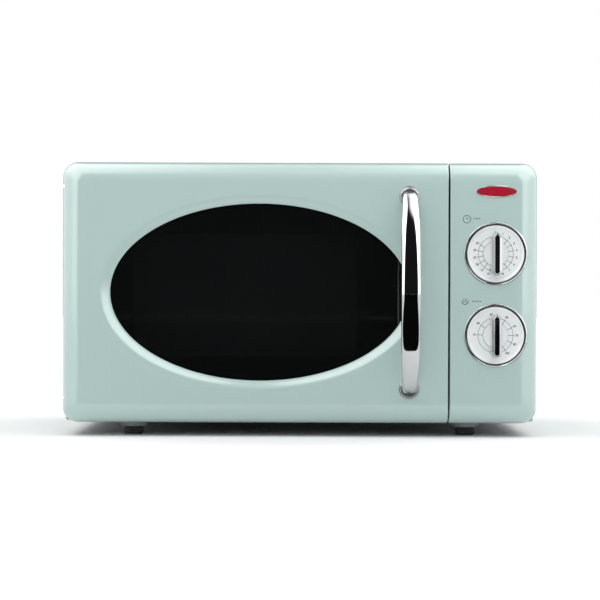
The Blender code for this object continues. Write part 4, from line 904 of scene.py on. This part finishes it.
def coat_of(name, first, second, low, high, metallic=0.0, grain=900.0, depth=0.00002, scale=12.0, extra=None):
    """A finish with a drift between two tones, uneven gloss and a fine surface grain."""
    return surface(name, lambda wire: noise(wire, scale, 5.0).step(0.3, 0.7).fade(first, second),
                   faint_smears(low, high), metallic, bump=lambda wire: noise(wire, grain, 2.0),
                   depth=depth, extra=extra)


def spangle(wire):
    """The crystal pattern of galvanised steel."""
    cells = wire.node("TexVoronoi", values={"Vector": place_of(wire), "Scale": 380.0}, out=1)
    tone = parts_of(cells)[0]
    return tone.fade((0.50, 0.52, 0.53), (0.58, 0.60, 0.61))


shell_paint = coat_of("shell_paint", AQUA, tuple(0.97 * part for part in AQUA), 0.50, 0.58, grain=700.0,
                      depth=0.00005, scale=9.0, extra={"Specular IOR Level": 0.2})
galvanised = surface("galvanised", spangle, faint_smears(0.34, 0.50), 0.85,
                     bump=lambda wire: noise(wire, 500.0), depth=0.00002)
bright_steel = coat_of("bright_steel", (0.56, 0.57, 0.58), (0.66, 0.67, 0.68), 0.26, 0.40, 0.95, scale=40.0)
dress(shell_paint, "outer_cabinet")
dress(galvanised, "base_plate", "front_frame", "back_panel", "waveguide", "fan_shroud", "turntable_motor",
      "hinge_lower", "hinge_upper")
dress(bright_steel, "grill_reflector", "magnetron", "capacitor", "fan_motor", "time_shaft", "power_shaft",
      "latch_spring")

# ---- Feet ---------------------------------------------------------------------------------------
# Moulded black rubber, dusty where it has been handled, with a rounded tread edge. A stem on top of
# each foot is pressed up into the base.
FOOT_HEIGHT = 0.0077
STEM_RADIUS = 0.0029
CENTRE_GAP = 0.0002            # radius at which a turned piece is closed on its axis

rubber = coat_of("rubber", (0.014, 0.014, 0.015), (0.030, 0.030, 0.031), 0.70, 0.88, grain=1800.0,
                 depth=0.00006, scale=160.0)


def upright(name, profile, axis, steps):
    """Turn (radius, height) points about an upright axis."""
    turns = [2 * math.pi * i / steps for i in range(steps)]
    return bridge(name, [[axis + Vector((r * math.cos(t), r * math.sin(t), z)) for t in turns]
                         for r, z in profile])


for place in ("front_left", "front_right", "rear_left", "rear_right"):
    low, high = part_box(f"foot_{place}")
    x, y, _ = middle_of(f"foot_{place}")
    radius, top, stem_top = (high[0] - low[0]) / 2, FOOT_HEIGHT, high[2]
    profile = [(CENTRE_GAP, 0.0), (radius - 0.0018, 0.0), (radius - 0.0009, 0.0003),
               (radius - 0.0003, 0.0010), (radius, 0.0020), (radius, top - 0.0016),
               (radius - 0.0003, top - 0.0004), (radius - 0.0008, top), (STEM_RADIUS, top),
               (STEM_RADIUS, stem_top - 0.0004), (STEM_RADIUS - 0.0004, stem_top), (CENTRE_GAP, stem_top)]
    foot = upright(f"rubber_foot_{place}", profile, Vector((x, y, 0.0)), 64)
    finish(foot, rubber, "cabinet_body", f"foot_{place}")

# ---- Oven inside --------------------------------------------------------------------------------
# The cavity is grey enamel baked on steel, finely speckled, with a sheet of mica over the opening of
# the waveguide. A small soft light under the roof shows it when the door is open.
GLOW_PLACE = (-0.0525, 0.02, 0.232)
GLOW_SIZE = 0.10
GLOW_POWER = 0.5


def enamel_specks(wire):
    specks = noise(wire, 1100.0, 2.0).step(0.60, 0.68)
    return specks.fade((0.36, 0.37, 0.38), (0.24, 0.25, 0.26))


enamel = surface("enamel", enamel_specks, faint_smears(0.30, 0.42),
                 bump=lambda wire: noise(wire, 500.0), depth=0.00003)
mica_sheet = surface("mica_sheet",
                     lambda wire: noise(wire, 240.0, 6.0).fade((0.50, 0.44, 0.31), (0.66, 0.60, 0.46)),
                     faint_smears(0.45, 0.6), bump=lambda wire: noise(wire, 350.0), depth=0.00004)
dress(enamel, "cavity")
dress(mica_sheet, "waveguide_cover")
glow = bpy.data.lights.new("oven_glow", "AREA")
glow.size = GLOW_SIZE
glow.energy = GLOW_POWER
oven_glow = bpy.data.objects.new("oven_glow", glow)
oven_glow.location = GLOW_PLACE
bpy.context.scene.collection.objects.link(oven_glow)

# ---- Turntable tray -----------------------------------------------------------------------------
# Pressed clear glass with a raised rim, a rolled edge and a short foot ring that centres it on the
# drive coupler. It lies loose on the rollers.
TRAY_TOP = 0.004               # height of the floor above the underside
TRAY_RIM = 0.0095
TRAY_FOOT = (0.0142, 0.0165)   # foot ring, inside and outside
FOOT_DROP = 0.0050
tray_low, tray_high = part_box("turntable_tray")
tray_x, tray_y, _ = middle_of("turntable_tray")
TRAY_AXIS = Vector((tray_x, tray_y, tray_high[2] - TRAY_RIM))
TRAY_EDGE = (tray_high[0] - tray_low[0]) / 2
tray_profile = [(0.0003, TRAY_TOP), (0.060, TRAY_TOP), (TRAY_EDGE - 0.0165, TRAY_TOP),
                (TRAY_EDGE - 0.0140, TRAY_TOP + 0.0005), (TRAY_EDGE - 0.0100, TRAY_TOP + 0.0027),
                (TRAY_EDGE - 0.0060, TRAY_RIM - 0.0004), (TRAY_EDGE - 0.0040, TRAY_RIM),
                (TRAY_EDGE - 0.0015, TRAY_RIM), (TRAY_EDGE - 0.0004, TRAY_RIM - 0.0005),
                (TRAY_EDGE, TRAY_RIM - 0.0013), (TRAY_EDGE - 0.0020, 0.0055), (TRAY_EDGE - 0.0060, 0.0011),
                (TRAY_EDGE - 0.0120, 0.0), (TRAY_FOOT[1], 0.0), (TRAY_FOOT[1], 0.0004 - FOOT_DROP),
                (TRAY_FOOT[1] - 0.0004, -FOOT_DROP), (TRAY_FOOT[0] + 0.0004, -FOOT_DROP),
                (TRAY_FOOT[0], 0.0004 - FOOT_DROP), (TRAY_FOOT[0], 0.0), (0.0003, 0.0)]
clear_glass = surface("clear_glass",
                      lambda wire: noise(wire, 30.0).fade((0.42, 0.52, 0.49), (0.48, 0.58, 0.55)),
                      faint_smears(0.02, 0.05), extra={"IOR": 1.5})
link_to(clear_glass, "Alpha",
        lambda wire: 0.07 + 0.28 * wire.node("LayerWeight", values={"Blend": 0.35}, out=1))
finish(upright("glass_tray", tray_profile, TRAY_AXIS, 144), clear_glass, "tray",
       "turntable_tray")

# ---- Wire rack ----------------------------------------------------------------------------------
# Plated steel wire, welded: a ring with cross wires, and four legs that step out before they go
# down. It stands loose on the tray.
WIRE_RADIUS = 0.0017
CROSS_RADIUS = 0.0013
CROSS_PITCH = 0.0155
RING_RADIUS = 0.064
LEG_ANGLE = 27                 # degrees from straight sideways, on both sides
LEG_STEP = 0.004               # how far a leg steps out
LEG_DROP = 0.010               # and how far down it does so
rack_low, rack_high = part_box("wire_rack")
rack_x, rack_y, _ = middle_of("wire_rack")
RACK_TOP = Vector((rack_x, rack_y, rack_high[2] - WIRE_RADIUS))


def add_wire(shape, points, radius, closed=False):
    """A round wire along points, as closed mesh."""
    data = bpy.data.curves.new("wire", "CURVE")
    data.dimensions = "3D"
    data.bevel_depth = radius
    data.bevel_resolution = 4
    data.use_fill_caps = True
    spline = data.splines.new("POLY")
    spline.points.add(len(points) - 1)
    for knot, point in zip(spline.points, points):
        knot.co = (*point, 1.0)
    spline.use_cyclic_u = closed
    add_curve(shape, data)


def way_out(angle):
    return Vector((math.cos(angle), math.sin(angle), 0.0))


rack = bmesh.new()
ring = [RACK_TOP + RING_RADIUS * way_out(2 * math.pi * i / 96) for i in range(96)]
add_wire(rack, ring, WIRE_RADIUS, closed=True)
for i in range(-3, 4):
    x = i * CROSS_PITCH
    half = math.sqrt(RING_RADIUS ** 2 - x ** 2)
    add_wire(rack, [RACK_TOP + Vector((x, -half, 0)), RACK_TOP + Vector((x, half, 0))], CROSS_RADIUS)
for degrees in (LEG_ANGLE, 180 - LEG_ANGLE, 180 + LEG_ANGLE, 360 - LEG_ANGLE):
    out = way_out(math.radians(degrees))
    start = RACK_TOP + out * RING_RADIUS
    knee = RACK_TOP + out * (RING_RADIUS + LEG_STEP) - Vector((0, 0, LEG_DROP))
    foot_point = Vector((knee.x, knee.y, rack_low[2]))
    above, below = start.lerp(knee, 0.6), knee.lerp(foot_point, 0.08)
    bend = [above * (1 - t) ** 2 + knee * 2 * t * (1 - t) + below * t ** 2
            for t in (0.0, 0.2, 0.4, 0.6, 0.8, 1.0)]
    add_wire(rack, [start, *bend, foot_point], WIRE_RADIUS)
close_up(rack)
finish(from_bmesh("grill_rack", rack), bright_chrome, "rack", "wire_rack", angle=50.0)

# ---- Plastics and inner works -------------------------------------------------------------------
# Moulded parts keep a matt tool grain, and the lamp and both heaters are frosted quartz. The
# transformer is stacked steel plates round windings of enamelled copper wire.
white_mould = coat_of("white_mould", (0.74, 0.74, 0.70), (0.80, 0.80, 0.77), 0.42, 0.52, grain=1400.0)
black_mould = coat_of("black_mould", (0.016, 0.017, 0.019), (0.028, 0.030, 0.032), 0.40, 0.52, grain=1400.0)
grey_mould = coat_of("grey_mould", (0.16, 0.17, 0.18), (0.20, 0.21, 0.22), 0.44, 0.54, grain=1400.0)
fibre_board = coat_of("fibre_board", (0.03, 0.19, 0.09), (0.05, 0.26, 0.13), 0.38, 0.5, grain=600.0,
                      scale=200.0)
quartz_glass = coat_of("quartz_glass", (0.74, 0.72, 0.68), (0.84, 0.82, 0.79), 0.16, 0.28)


def turns_and_groove_shade(wire):
    """Turns of wire, one beside the other up the coil. As colour it paints shade into the grooves between
    turns and a highlight on their crests.
    """
    x, y, z = parts_of(place_of(wire))
    return (z * 5600.0).math("SINE") * 0.5 + 0.5


def stacked_plates(wire):
    """Sheets of steel, one behind the other."""
    x, y, z = parts_of(place_of(wire))
    return (y * 9000.0).math("SINE") * 0.5 + 0.5


# The winding's colour follows the height of its turns: painted shade in the grooves between turns and a
# painted highlight on their crests.
copper_wire = surface("copper_wire",
                      lambda wire: turns_and_groove_shade(wire).fade((0.45, 0.17, 0.07), (0.76, 0.36, 0.18)),
                      faint_smears(0.26, 0.38), 0.9, bump=turns_and_groove_shade, depth=0.0002)
plate_steel = surface("plate_steel",
                      lambda wire: stacked_plates(wire).fade((0.20, 0.21, 0.22), (0.42, 0.43, 0.44)),
                      faint_smears(0.35, 0.5), 0.85, bump=stacked_plates, depth=0.0001)
dress(white_mould, "timer", "power_selector", "turntable_coupler", "roller_ring", "roller_1", "roller_2",
      "roller_3", "interlock_bracket")
dress(black_mould, "latch_hooks", "cord_gland", "fan_impeller", "lower_switch", "upper_switch")
dress(grey_mould, "choke_cover")
dress(fibre_board, "filter_board")
dress(quartz_glass, "quartz_tube_front", "quartz_tube_rear", "lamp")
dress(copper_wire, "primary_winding", "secondary_winding")
dress(plate_steel, "transformer_core")
